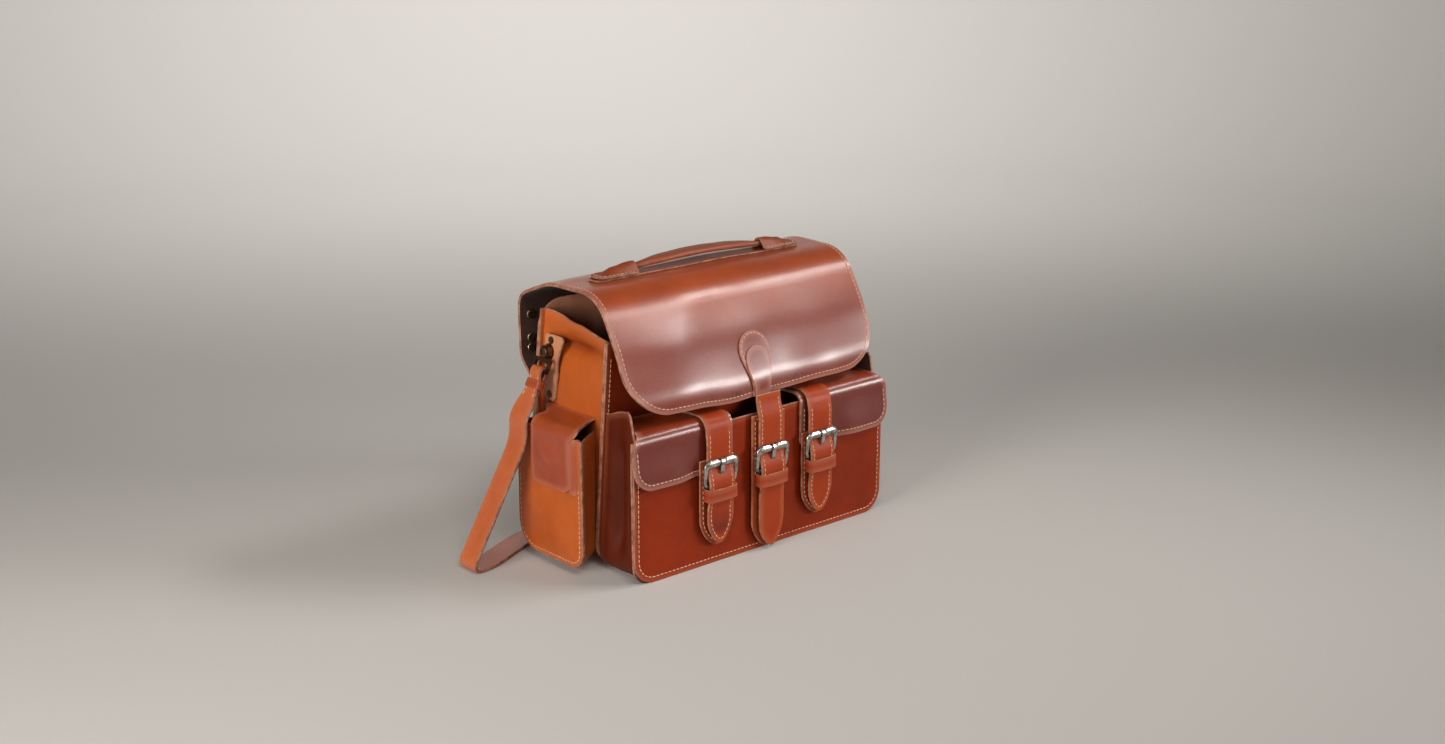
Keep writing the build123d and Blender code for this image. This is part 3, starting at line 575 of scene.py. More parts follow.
BURGUNDY_RIM = (0.42, 0.17, 0.13)
LEATHERS = {
    "flap": dict(
        colour=(0.40, 0.070, 0.013), deep=(0.19, 0.025, 0.009), second=(0.155, 0.022, 0.012),
        rim=BURGUNDY_RIM, roughness=0.33, coat=0.35, specular=0.4,
    ),
    "pocket_flap": dict(
        colour=(0.30, 0.046, 0.012), deep=(0.09, 0.012, 0.007), second=(0.125, 0.015, 0.009),
        rim=BURGUNDY_RIM, roughness=0.31, coat=0.3, specular=0.3,
    ),
    "body": dict(
        colour=(0.26, 0.024, 0.002), deep=(0.14, 0.011, 0.001), rim=(0.36, 0.08, 0.035),
        roughness=0.45, specular=0.12,
    ),
    # the side leather's second colour is painted shade, used only in the main gusset's valley under
    # its rolled hem
    "side": dict(
        colour=(0.52, 0.115, 0.015), deep=(0.34, 0.050, 0.007), second=(0.16, 0.025, 0.006),
        rim=(0.44, 0.13, 0.05), roughness=0.42, specular=0.35,
    ),
    "side_flap": dict(
        colour=(0.38, 0.070, 0.014), deep=(0.24, 0.034, 0.009), second=(0.34, 0.060, 0.024),
        rim=(0.46, 0.15, 0.09), roughness=0.31, coat=0.35, specular=0.4,
    ),
    "dark": dict(
        colour=(0.11, 0.014, 0.003), deep=(0.045, 0.006, 0.002), rim=(0.26, 0.07, 0.03),
        roughness=0.45, specular=0.15,
    ),
    "strap": dict(
        colour=(0.34, 0.043, 0.008), deep=(0.22, 0.022, 0.004), rim=(0.40, 0.095, 0.035),
        roughness=0.38, specular=0.14,
    ),
    "keeper": dict(
        colour=(0.32, 0.040, 0.009), deep=(0.20, 0.020, 0.004), rim=(0.40, 0.10, 0.04),
        roughness=0.36, coat=0.05, specular=0.25,
    ),
    "shoulder": dict(
        colour=(0.54, 0.130, 0.040), deep=(0.38, 0.066, 0.016), rim=(0.48, 0.15, 0.06),
        roughness=0.34, coat=0.35, specular=0.5,
    ),
    "tab": dict(
        colour=(0.62, 0.28, 0.15), deep=(0.50, 0.16, 0.06), rim=(0.50, 0.22, 0.12),
        roughness=0.45, specular=0.35,
    ),
    "handle": dict(
        colour=(0.25, 0.048, 0.014), deep=(0.15, 0.026, 0.008), rim=(0.30, 0.08, 0.04),
        roughness=0.42, specular=0.35,
    ),
}
LEATHERS["stained_strap"] = dict(LEATHERS["strap"], second=(0.070, 0.012, 0.012))
skin = {name: leather(name + "_leather", **look) for name, look in LEATHERS.items()}
skin.update(
    flesh=flesh_side("flesh_dark", (0.060, 0.020, 0.010), (0.024, 0.008, 0.005)),
    # the pale flesh side is the leather's own pinkish colour, raised further as painted light where
    # the back panel's inner top lies in shade under the flap
    flesh_pale=flesh_side("flesh_pale", (0.85, 0.34, 0.20), (0.66, 0.22, 0.12)),
    edge=cut_edge("cut_edge", (0.42, 0.19, 0.12), (0.20, 0.070, 0.040)),
    thread=waxed_thread("waxed_thread", (0.62, 0.38, 0.23)),
    pewter=old_metal("antique_pewter", (0.50, 0.50, 0.47), (0.17, 0.16, 0.14), 0.26),
    brass=old_metal("antique_brass", (0.56, 0.46, 0.27), (0.18, 0.13, 0.07), 0.28),
    bronze=old_metal("dark_bronze", (0.20, 0.11, 0.06), (0.05, 0.026, 0.015), 0.34),
    steel=old_metal("magnet_steel", (0.55, 0.55, 0.54), (0.34, 0.33, 0.32), 0.30),
)


# ---------------------------------------------------------------- sizes from the frame
body_low, body_high = cad("back_panel")
flap_low, flap_high = cad("main_flap")
flap_back_low, flap_back_high = cad("flap_back")
front_high = cad("front_panel")[1]
pocket_low, pocket_high = cad("front_pocket_panel")
top_low, top_high = cad("pocket_top_left")
pocket_flap_low, pocket_flap_high = cad("pocket_flap_left")
side_low, side_high = cad("side_pocket_panel_right")
side_flap_low, side_flap_high = cad("side_pocket_flap_right")
half_body = body_high[0]
half_pocket = pocket_high[0]
pocket_y = pocket_low[1]
PANEL = pocket_high[1] - pocket_low[1]
FLAP = 3.0
STRAP = 2.2
FRONT_LEAN = 0.1
SEAM_FLANGE = 5.0


def front_y(z):
    """Outer face of the main front panel."""
    return front_high[1] - PANEL - FRONT_LEAN * z


# ---------------------------------------------------------------- main flap
flap_path = Path(
    [
        (flap_back_low[1] + FLAP, flap_back_low[2]),
        (flap_back_low[1] + FLAP, 156),
        (flap_back_high[1], 176),
        (flap_back_high[1], 236),
        (48, flap_high[2]),
        (-22, flap_high[2]),
        (-56, 202),
        (pocket_y, 160),
        (pocket_y, flap_low[2]),
    ],
    [14, 14, 18, 60, 42, 150, 40],
)
flap_t_top = flap_path.where(1, flap_high[2])
flap_t_end = flap_path.total


def flap_surface(s, t):
    """The flap's outer side: s is across the bag, t runs from behind the bag over its top."""
    y, z = flap_path.at(t).T
    front = eased(t, (flap_t_end - 120, 0), (flap_t_end - 12, 1))
    rim = eased(np.abs(s), (half_body - 34, 0), (half_body, 1))
    hump = bell(np.abs(s), 84, 34)
    push = front * (2.4 * hump - 1.0 * rim)
    wave = 1.6 * np.sin((s + 22) / 27.0) * bell(s, 0, 95) + eased(np.abs(s), (26, 0), (80, 4.0))
    return np.stack([s - 4.5 * front, y - push, z + front * wave], -1)


def flap_tone(s, t):
    return eased(t, (flap_t_top + 60, 0), (flap_t_top + 125, 1))


def flap_wear(s, t):
    """Small rubbed places near the flap's lower edge, and along the tail behind the bag."""
    spots = ((46, 9, 9, 3.5), (-30, 7, 16, 4), (-62, 10, 5, 3), (118, 16, 6, 4))
    wear = np.zeros(np.shape(s))
    for across, from_end, wide, tall in spots:
        wear += bell(s, across, wide) * bell(t, flap_t_end - from_end, tall)
    return np.clip(wear + 0.7 * eased(t, (0, 1), (7, 0)), 0, 1)


flap_sheet = Sheet(flap_surface, (0, -0.5, 1), ripple=1.7, ripple_size=78)
flap_shape = block((-half_body, half_body), (0, flap_t_end), (12, 12, 46, 44))
leather_piece(
    "main_flap_leather",
    flap_sheet,
    flap_shape,
    "flap",
    ("main_flap", "flap_back"),
    ("bag", "flap", (0, 0.0955, 0.214), (0, 0.0675, 0.242)),
    "flap_leather",
    (0, -FLAP),
    tone=flap_tone,
    wear=flap_wear,
)
flap_fold = flap_path.where(1, 228)
for name, body, keep in (
    ("main_flap_border", "flap", lambda s, t: t > flap_fold + 22),
    ("flap_back_border", "bag", lambda s, t: t < flap_fold - 22),
):
    border_seam(name, flap_sheet, flap_shape, SEAM_INSET, keep, body, "flap_leather")

TONGUE_TOP, TONGUE_WIDE, TONGUE_NARROW = 203.0, 18.5, 11.0


def tongue_shape(shrink, top_z):
    """A tongue that is round above, widest below its top and has a narrow waist."""
    start = flap_path.where(1, top_z, flap_t_top)
    end = flap_path.where(1, flap_low[2] + 0.5, flap_t_top)

    def limits(t):
        down = t - start
        wide, narrow = TONGUE_WIDE - shrink, TONGUE_NARROW - shrink * 0.5
        round_top = wide * np.sqrt(np.clip(1 - (1 - np.clip(down / wide, 0.0005, 1)) ** 2, 0, 1))
        waist = eased(down, (wide, wide), (wide + 34, narrow))
        reach = np.where(down < wide, round_top, waist)
        return -reach, reach

    return spaced(start, end, TONGUE_WIDE - shrink, 0, 4.0), limits


leather_piece(
    "tongue_patch",
    flap_sheet,
    tongue_shape(0, TONGUE_TOP),
    "flap",
    ("flap_tongue",),
    "flap",
    "flap_leather",
    (1.5, 0.15),
    seams=[(2.6, lambda s, t: t < flap_t_end - 9)],
    tone=everywhere,
    across_step=3.0,
)
leather_piece(
    "tongue_cover",
    flap_sheet,
    tongue_shape(4.2, TONGUE_TOP - 13),
    "flap",
    (),
    "flap",
    "flap_leather",
    (2.5, 1.5),
    tone=everywhere,
    across_step=3.0,
)

# ---------------------------------------------------------------- main compartment
leather_piece(
    "front_panel_leather",
    Sheet(lambda s, t: np.stack([s, front_y(t), t], -1), (0, -1, 0), ripple=0.6),
    block((-half_body, half_body), (0, front_high[2]), (30, 30, 0, 0)),
    "body",
    ("front_panel",),
    seams=[(SEAM_INSET, lambda s, t: t < front_high[2] - 9)],
)

back_path = Path([(body_high[1], 0), (body_high[1], 150), (body_low[1] + PANEL, body_high[2])], 40)


def back_surface(s, t):
    y, z = back_path.at(t).T
    return np.stack([s, y, z], -1)


leather_piece(
    "back_panel_leather",
    Sheet(back_surface, (0, 1, 0), ripple=0.5, seed=9),
    block((-half_body, half_body), (0, back_path.total), (30, 30, 24, 24)),
    "body",
    ("back_panel",),
    # its flesh side is lightened as painted light
    flesh="flesh_pale",
    seams=[(SEAM_INSET, everywhere)],
)

band_half = half_body - SEAM_FLANGE
GUSSET_TOP = 221.0
SECTION_WIDTH = 86.0


def u_path(half, top, radius):
    """A U in front view: down one side, under the bag and up the other side."""
    return Path([(-half, top), (-half, 0), (half, 0), (half, top)], radius)


gusset_path = u_path(band_half, GUSSET_TOP, 25)


def back_inner_y(z):
    """Inner face of the back panel."""
    return body_high[1] - PANEL - np.clip((z - 150) / 85, 0, 1) * 11.5


def u_frame(path, t):
    """Points of a U-shaped path in front view, and their outward direction."""
    point = path.at(t)
    run = unit(path.at(t + 0.5) - path.at(t - 0.5))
    outward = np.stack([run[:, 1], -run[:, 0]], -1)
    return point, outward


def upright(y):
    """A flat upright surface, facing front and back, at a depth."""
    return lambda s, t: np.stack([s, np.full(np.shape(s), y), t], -1)


def bulged(point, outward, offset, y, z):
    """Points of a U-shaped gusset, moved outwards by an offset."""
    return np.stack([point[:, 0] + outward[:, 0] * offset, y, z + outward[:, 1] * offset], -1)


def gusset_surface(s, t):
    """The gusset's outer side: s crosses it from front seam to back seam, t goes round the U."""
    point, outward = u_frame(gusset_path, t)
    share = np.clip((s - SEAM_FLANGE) / SECTION_WIDTH, 0, 1)
    rise = eased(share, (0, -7), (0.5, 0.5), (1, 7))
    z = point[:, 1] + rise * eased(point[:, 1], (150, 0), (GUSSET_TOP, 1))
    front, back = front_y(z) + 2 * PANEL, back_inner_y(z) - PANEL
    turn = 2.2
    from_front, from_back = s - SEAM_FLANGE, s - SEAM_FLANGE - SECTION_WIDTH
    flange = np.where(from_front < 0, -from_front, np.clip(from_back, 0, None))
    near = np.minimum(np.abs(from_front), np.abs(from_back))
    soften = np.clip(1 - near / turn, 0, 1) ** 2 * 0.5
    valley = eased(z, (120, 0), (168, 1.5), (188, -2), (199, -13), (207, -3), (217, 0), (226, -5))
    belly = eased(z, (10, 0), (70, -1.5), (125, 0))
    sag = (valley + belly) * np.sin(np.pi * share) ** 1.3
    offset = sag + (flange + soften) * np.abs(outward[:, 0])
    return bulged(point, outward, offset, front + share * (back - front), z)


def gusset_painted_shade(s, t):
    """Painted shade: a darker colour in the valley under the rolled hem, where shade falls."""
    z = gusset_surface(s, t)[:, 2]
    share = np.clip((s - SEAM_FLANGE) / SECTION_WIDTH, 0, 1)
    return bell(z, 200, 4.5) * np.sin(np.pi * share)


leather_piece(
    "main_gusset_leather",
    Sheet(gusset_surface, (0, 0, -1), ripple=0.9, ripple_size=48),
    block((0, SECTION_WIDTH + 2 * SEAM_FLANGE), (0, gusset_path.total), step=5.0),
    "side",
    ("main_gusset",),
    flesh="flesh_pale",
    # tone here is painted shade: the valley under the hem is darkened in colour
    tone=gusset_painted_shade,
    across_step=4.0,
)

# ---------------------------------------------------------------- front pocket
leather_piece(
    "front_pocket_leather",
    Sheet(upright(pocket_y), (0, -1, 0), ripple=0.7, seed=4),
    block((-half_pocket, half_pocket), (0, pocket_high[2]), (22, 22, 0, 0)),
    "body",
    ("front_pocket_panel",),
    seams=[(SEAM_INSET, lambda s, t: t < pocket_high[2] - 8)],
)

EAR_TOP = cad("front_pocket_gusset")[1][2]
pocket_band = half_pocket - SEAM_FLANGE
EAR_ROOT = 140.0
pocket_gusset_path = u_path(pocket_band, EAR_ROOT, 17)
POCKET_DEPTH = 42.0


def pocket_gusset_surface(s, t):
    point, outward = u_frame(pocket_gusset_path, t)
    share = np.clip((s - SEAM_FLANGE) / POCKET_DEPTH, 0, 1)
    ear = EAR_TOP - EAR_ROOT
    rise = eased(share, (0, -8), (0.2, ear), (0.4, ear - 2), (1, 10))
    z = point[:, 1] + rise * eased(point[:, 1], (95, 0), (EAR_ROOT, 1))
    front, back = pocket_y + 2 * PANEL, front_y(z) - 0.3
    flange = np.clip(SEAM_FLANGE - s, 0, None)
    pleats = -9.5 * bell(share, 0.52, 0.17) + 2.0 * bell(share, 0.22, 0.1)
    fold = pleats * eased(z, (4, 0), (45, 1), (110, 0.8), (134, 0.15))
    offset = fold + flange * np.abs(outward[:, 0])
    return bulged(point, outward, offset, front + share * (back - front), z)


leather_piece(
    "front_pocket_gusset_leather",
    Sheet(pocket_gusset_surface, (0, 0, -1), ripple=0.8, ripple_size=40, seed=2),
    block((0, POCKET_DEPTH + SEAM_FLANGE), (0, pocket_gusset_path.total), step=5.0),
    "dark",
    ("front_pocket_gusset",),
    across_step=3.5,
)

POCKET_FOLD = 11.0
pocket_flap_path = Path(
    [
        (top_high[1] - 1, top_high[2]),
        (pocket_flap_low[1], top_high[2]),
        (pocket_flap_low[1], pocket_flap_low[2]),
    ],
    POCKET_FOLD,
)
pocket_fold_t = pocket_flap_path.where(1, top_high[2] - POCKET_FOLD)


def pocket_flap_shape(side):
    """The flap widens past the pocket's gusset once it is over the fold."""
    end = pocket_flap_path.total
    inner, outer, top_outer = -pocket_flap_high[0], -pocket_flap_low[0], -top_low[0] - 0.5
    outer_round, inner_round = 20.0, 6.0
    rows = spaced(0, end, 0, outer_round, 4.0)

    def limits(t):
        wide = eased(t, (pocket_fold_t - 17, top_outer), (pocket_fold_t + 3, outer))
        wide = wide - corner_cut(end - t, outer_round)
        narrow = inner + corner_cut(end - t, inner_round)
        return (-wide, -narrow) if side < 0 else (narrow, wide)

    return rows, limits


def pocket_flap_surface(s, t):
    y, z = pocket_flap_path.at(t).T
    drop = eased(t, (pocket_fold_t, 0), (pocket_flap_path.total, 1))
    outer = eased(np.abs(s), (84, 0), (112, 1), (158, 0.75))
    return np.stack([s, y - 5.0 * drop * outer, z], -1)


for side, sign in SIDES.items():
    flat_shape = pocket_flap_shape(sign)
    pocket_flap_sheet = Sheet(
        pocket_flap_surface, (0, -0.6, 0.8), ripple=0.5, ripple_size=60, seed=7 * sign
    )
    leather_piece(
        f"pocket_flap_{side}_leather",
        pocket_flap_sheet,
        flat_shape,
        "pocket_flap",
        (f"pocket_top_{side}", f"pocket_flap_{side}"),
        ("bag", f"front_flap_{side}", (0, -0.064, 0.1405), (0, -0.0775, 0.127)),
        "flap_leather",
        tone=lambda s, t: eased(t, (pocket_fold_t - 18, 0), (pocket_fold_t + 2, 1)),
    )
    border_seam(
        f"pocket_flap_{side}_border",
        pocket_flap_sheet,
        flat_shape,
        SEAM_INSET,
        lambda s, t: t > pocket_fold_t + 2,
        f"front_flap_{side}",
        "flap_leather",
    )

# ---------------------------------------------------------------- buckled straps
STRAP_WIDTH, STRAP_POINT = 30.0, 23.0
OVER_BAR, BELOW_BAR = 12.1, 8.6
HINGE_Z = 127.0


def strap_body(name):
    return "flap" if name == "centre" else f"front_flap_{name}"


def ribbon(path, x):
    """A flat strap that follows a side-view path at a place across the bag."""

    def surface(s, t):
        y, z = path.at(t).T
        return np.stack([x + s, y, z], -1)

    return surface


def keeper(node, ring, place, height, body, slot):
    """A strap keeper: a leather strip wrapped into a ring, its ends meeting behind."""

    def surface(s, t):
        u, v = ring.at(t).T
        return place(u, v, s)

    sheet = Sheet(surface, None, ripple=0.15, ripple_size=14)
    round_ring = np.linspace(0, ring.total, 64)
    middle = surface(0 * round_ring, round_ring)
    outward = np.sum(sheet.normals(0 * round_ring, round_ring) * (middle - middle.mean(0)))
    sheet.sign = 1.0 if outward > 0 else -1.0
    shape = block((-height / 2, height / 2), (0, ring.total), step=2.0)
    leather_piece(
        node + "_leather", sheet, shape, "keeper", (node,), body, slot, (0, -1.6), across_step=1.6
    )


for name in STRAPS:
    strap_low, strap_high = cad(f"{name}_strap")
    backing_low, backing_high = cad(f"{name}_strap_backing")
    keeper_low, keeper_high = cad(f"{name}_keeper")
    x = (strap_low[0] + strap_high[0]) / 2
    tip_z = strap_low[2]
    body = strap_body(name)
    # the strap's route in side view: depths forward of the pocket's front, with heights
    route = [(7.8, 95), (OVER_BAR, 81.5), (OVER_BAR - 0.4, 71), (BELOW_BAR, 54), (BELOW_BAR, tip_z)]
    radii = [14, 14, 12, 12, 14]
    if name == "centre":
        riding, stands_for = body, (f"{name}_strap",)
        route = [(3.7, strap_high[2]), (3.9, 143), (7.8, 128)] + route
        radii = [10] + radii
        seam_end, backing_seam = 64, (3, 60)
    else:
        roots_low, roots_high = cad("strap_roots")
        riding = ("bag", body, (0, -0.064, 0.1415), (0, -0.079, 0.127))
        stands_for = (f"{name}_strap", "strap_roots")
        top = roots_low[2] + STRAP / 2
        over = pocket_y - (pocket_flap_low[1] - 0.4 - STRAP / 2)
        route = [(pocket_y - roots_high[1] + 2, top), (over, top), (7.8, 119)] + route
        radii = [POCKET_FOLD + 1.5] + radii
        seam_end, backing_seam = tip_z, (6, 200)
    strap_path = Path([(pocket_y - depth, z) for depth, z in route], radii)
    seam_from = 2.0 if name == "centre" else strap_path.where(1, HINGE_Z)
    seam_to = strap_path.where(1, seam_end)
    strap_sheet = Sheet(ribbon(strap_path, x), (0, -1, 0.2), ripple=0.5, ripple_size=34, seed=x)

    def stain(s, t):
        return eased(strap_path.total - t, (6, 0.0), (14, 1.0), (24, 0.6), (34, 0.0))

    leather_piece(
        f"{name}_strap_leather",
        strap_sheet,
        pointed(STRAP_WIDTH, strap_path.total, STRAP_POINT, 4.0),
        "stained_strap" if name == "left" else "strap",
        stands_for,
        riding,
        "strap_leather",
        (STRAP / 2, -STRAP / 2),
        tone=stain if name == "left" else nowhere,
        across_step=3.0,
    )
    border_seam(
        f"{name}_strap_seam",
        strap_sheet,
        pointed(STRAP_WIDTH, strap_path.total, STRAP_POINT, 3.0),
        3.6,
        lambda s, t: (t > seam_from) & (t < seam_to),
        body,
        "strap_leather",
        STRAP / 2,
        pitch=4.2,
        length=3.1,
        thread=0.42,
    )

    def backing_surface(s, t):
        return np.stack([x + s, np.full(np.shape(s), backing_low[1]), backing_high[2] - t], -1)

    leather_piece(
        f"{name}_backing_leather",
        Sheet(backing_surface, (0, -1, 0), ripple_size=30, seed=x + 5),
        pointed(backing_high[0] - backing_low[0], backing_high[2] - backing_low[2], 27.0, 4.0),
        "strap",
        (f"{name}_strap_backing",),
        body,
        "lining_leather",
        (0, -1.8),
        seams=[(3.8, lambda s, t: (t > backing_seam[0]) & (t < backing_seam[1]))],
        across_step=3.5,
    )
    half_x = (keeper_high[0] - keeper_low[0]) / 2
    front, back = keeper_high[1], keeper_low[1] + 0.1
    keeper_ring = closed_ring(half_x, half_x + 0.4, front, back, [1.2, 3.4, 3.4, 1.2], 0.4)
    middle_z = (keeper_low[2] + keeper_high[2]) / 2

    def keeper_place(u, v, s):
        droop = 0.8 * np.cos(np.clip(u / 18.0, -1, 1) * math.pi / 2)
        return np.stack([x + u, v, middle_z + s - droop], -1)

    height = keeper_high[2] - keeper_low[2]
    keeper(f"{name}_keeper", keeper_ring, keeper_place, height, body, "strap_leather")

# ---------------------------------------------------------------- buckles
def buckle_piece(name):
    """A cast buckle frame: a heavy rounded top bar, thinner sides and a thin bar below."""
    low, high = cad(f"{name}_buckle")
    x, half_x = (low[0] + high[0]) / 2, (high[0] - low[0]) / 2 - 2.0
    top_z, low_z = high[2] - 2.4, low[2] + 2.0
    top_y, low_y = low[1] + 2.4, high[1] - 2.2
    outline = closed_ring(half_x, half_x, top_z, low_z, [5.0, 4.0, 4.0, 5.0], 0.6)
    around = 14
    places = np.arange(0, outline.total, 0.8)
    vertices = []
    for t, (u, z) in zip(places, outline.at(places)):
        run = unit(outline.at(min(t + 0.3, outline.total)) - outline.at(max(t - 0.3, 0.0)))
        share = (z - low_z) / (top_z - low_z)
        y = low_y + share * (top_y - low_y)
        heavy = float(eased(share, (0, 0.0), (0.72, 0.12), (0.97, 1.0), (1.0, 1.0)))
        waist = 1 - float(eased(abs(u), (0, 1), (2.6, 1), (4.6, 0))) * heavy * 0.38
        reach, depth = (1.8 + 1.9 * heavy) * waist, 1.7 + 0.7 * heavy * waist
        for j in range(around):
            angle = 2 * math.pi * j / around
            swell = 0.06 * noise.noise(Vector((x + u, z, 4 * math.cos(angle))) * 0.3)
            c, d = math.cos(angle) * (reach + swell), math.sin(angle) * (depth + swell)
            vertices.append((x + u - run[1] * c, y - 0.4 * heavy + d, z + run[0] * c))
    faces = grid_faces(len(places), around, closed=True)
    last = (len(places) - 1) * around
    for j in range(around):
        n = (j + 1) % around
        faces.append((last + j, last + n, n, j))
    piece = mesh_piece(f"{name}_buckle_frame", vertices, faces, [skin["pewter"]])
    dress(piece, strap_body(name), (f"{name}_buckle",))


for name in STRAPS:
    buckle_piece(name)

# ---------------------------------------------------------------- side pockets
SIDE_ROUND = (16.0, 26.0)
FLAP_FRONT = side_flap_low[1] + 8.5
side_centre_y = (side_low[1] + side_high[1]) / 2
for side, sign in SIDES.items():
    seed = 11 * sign

    def side_panel_surface(s, t):
        across = eased(s, (side_low[1], 0), (10, 1), (side_high[1], 0))
        belly = 4.5 * eased(t, (8, 0), (38, 1), (74, 0)) * across
        return np.stack([sign * (side_high[0] + belly), s, t], -1)

    leather_piece(
        f"side_pocket_{side}_leather",
        Sheet(side_panel_surface, (sign, 0, 0), ripple=0.4, seed=seed),
        block((side_low[1], side_high[1]), (side_low[2], side_high[2]), (*SIDE_ROUND, 0, 0)),
        "side",
        (f"side_pocket_panel_{side}",),
        seams=[(SEAM_INSET - 1, lambda s, t: t < side_flap_low[2] + 10)],
        across_step=5.0,
    )
    (front_side, floor_side), (back_side, top_side) = side_low[1:], side_high[1:]
    side_corners = [(front_side, top_side), (front_side, floor_side), (back_side, floor_side)]
    side_path = Path([*side_corners, (back_side, top_side)], SIDE_ROUND)
    inner_x, outer_x = band_half, side_high[0] - PANEL

    def side_gusset_surface(s, t):
        y, z = side_path.at(t).T
        share = np.clip((s - inner_x) / (outer_x - inner_x), -0.1, 1.1)
        y_front = -11 + share * (front_side + 11)
        y_back = 60 + share * (back_side - 60)
        y = y_front + (y - front_side) / (back_side - front_side) * (y_back - y_front)
        sag = 2.2 * np.sin(np.pi * np.clip(share, 0, 1)) * eased(z, (8, 0), (40, 1), (128, 0.4))
        inward = np.where(y < side_centre_y, 1, -1) * sag
        return np.stack([sign * s, y + inward, z], -1)

    leather_piece(
        f"side_pocket_{side}_gusset_leather",
        Sheet(side_gusset_surface, (0, 0, -1), ripple=0.5, ripple_size=40, seed=seed),
        block((inner_x, outer_x), (0, side_path.total), step=4.0),
        "side",
        (f"side_pocket_gusset_{side}",),
        across_step=4.0,
    )
    lid_top = cad(f"side_flap_top_{side}")[1][2]
    lid_x = side_flap_high[0]
    lid_round, lid_corner = 9.5, 10
    lid_corners = [(160, lid_top + 1.2), (lid_x, lid_top), (lid_x, side_flap_low[2])]
    lid_path = Path([(band_half + 0.5, lid_top + 2.5), *lid_corners], [30, lid_round])
    lid_fold = lid_path.where(1, lid_top - lid_round, 12)

    def lid_limits(t):
        front = eased(t, (0, -13.0), (lid_fold - 6, side_low[1] + 4), (lid_fold + 6, FLAP_FRONT))
        back = eased(t, (0, 58.0), (lid_fold - 22, side_flap_high[1] - 0.8))
        cut = corner_cut(lid_path.total - t, lid_corner)
        return front + cut, back - 0.6 * cut

    def lid_surface(s, t):
        x, z = lid_path.at(t).T
        low = eased(t, (lid_fold, 0), (lid_path.total, 1))
        curl = 1.0 * eased(s, (FLAP_FRONT, 1), (FLAP_FRONT + 14, 0)) * low
        curl = curl - 2.6 * bell(s, 12, 17) * np.sin(np.pi * np.clip(low, 0, 1)) ** 2
        dent = 2.0 * bell(s, 20, 16) * eased(t, (0, 0), (lid_fold - 12, 1), (lid_fold + 6, 0))
        return np.stack([sign * (x - curl), s, z - dent], -1)

    lid_sheet = Sheet(lid_surface, (sign, 0, 0.8), ripple=0.6, ripple_size=45, seed=seed)
    leather_piece(
        f"side_flap_{side}_leather",
        lid_sheet,
        (spaced(0, lid_path.total, 0, lid_corner, 4.0), lid_limits),
        "side_flap",
        (f"side_flap_top_{side}", f"side_pocket_flap_{side}"),
        ("bag", f"side_flap_{side}", (sign * 0.163, 0, 0.1395), (sign * 0.1805, 0, 0.126)),
        "flap_leather",
        tone=lambda s, t: eased(t, (lid_fold - 14, 0), (lid_fold + 6, 1)),
        across_step=4.0,
    )
    edge_x = lid_x - 0.4
    lip_corners = [(0, 0.8), (0, -7.5), (-6.6, -9.5)]
    lip_path = Path([(edge_x + x, FLAP_FRONT + y) for x, y in lip_corners], 5.0, 0.5)

    def lip_surface(s, t):
        x, y = lip_path.at(s).T
        return np.stack([sign * x, y, t], -1)

    leather_piece(
        f"side_flap_{side}_lip",
        Sheet(lip_surface, (0.5 * sign, -1, 0), ripple=0.5, ripple_size=22, seed=seed),
        block((0, lip_path.total), (side_flap_low[2] + 1, lid_top - 9), (2, 7, 0, 3), step=3.0),
        "side_flap",
        (),
        f"side_flap_{side}",
        "flap_leather",
        (0, -1.8),
        across_step=2.0,
    )

# ---------------------------------------------------------------- side tabs and back stays
for side, sign in SIDES.items():
    tab_low, tab_high = cad(f"side_tab_{side}")
    tab_top, tab_end = tab_high[2], tab_low[2]
    tab_x = max(abs(tab_low[0]), abs(tab_high[0]))

    tab_length = tab_top - tab_end

    def tab_limits(t):
        front = eased(tab_top - t, (143, 43.5), (176, 37), (206, 28.5))
        back = 57 + t / tab_length * (tab_high[1] - 57)
        cut = corner_cut(t, 5) + corner_cut(tab_length - t, 5)
        return front + cut, back - cut

    def tab_surface(s, t):
        share = np.clip(t / tab_length, 0, 1)
        bow = 4.5 * np.sin(np.pi * share) * eased(s, (28, 1), (47, 0.1))
        return np.stack([sign * (tab_x + bow), s, tab_top - t], -1)

    leather_piece(
        f"side_tab_{side}_leather",
        Sheet(tab_surface, (sign, 0, 0), ripple=0.2, ripple_size=30),
        (spaced(0, tab_length, 5, 5, 4.0), tab_limits),
        "tab",
        (f"side_tab_{side}",),
        across_step=3.0,
    )
    stay_low, stay_high = cad(f"back_stay_{side}")
    leather_piece(
        f"back_stay_{side}_leather",
        Sheet(upright(stay_high[1]), (0, 1, 0), ripple=0.1),
        block((stay_low[0], stay_high[0]), (stay_low[2], stay_high[2]), (3, 3, 1, 1), step=3.0),
        "strap",
        (f"back_stay_{side}",),
        slot="lining_leather",
        heights=(0, -STRAP),
        across_step=3.0,
    )

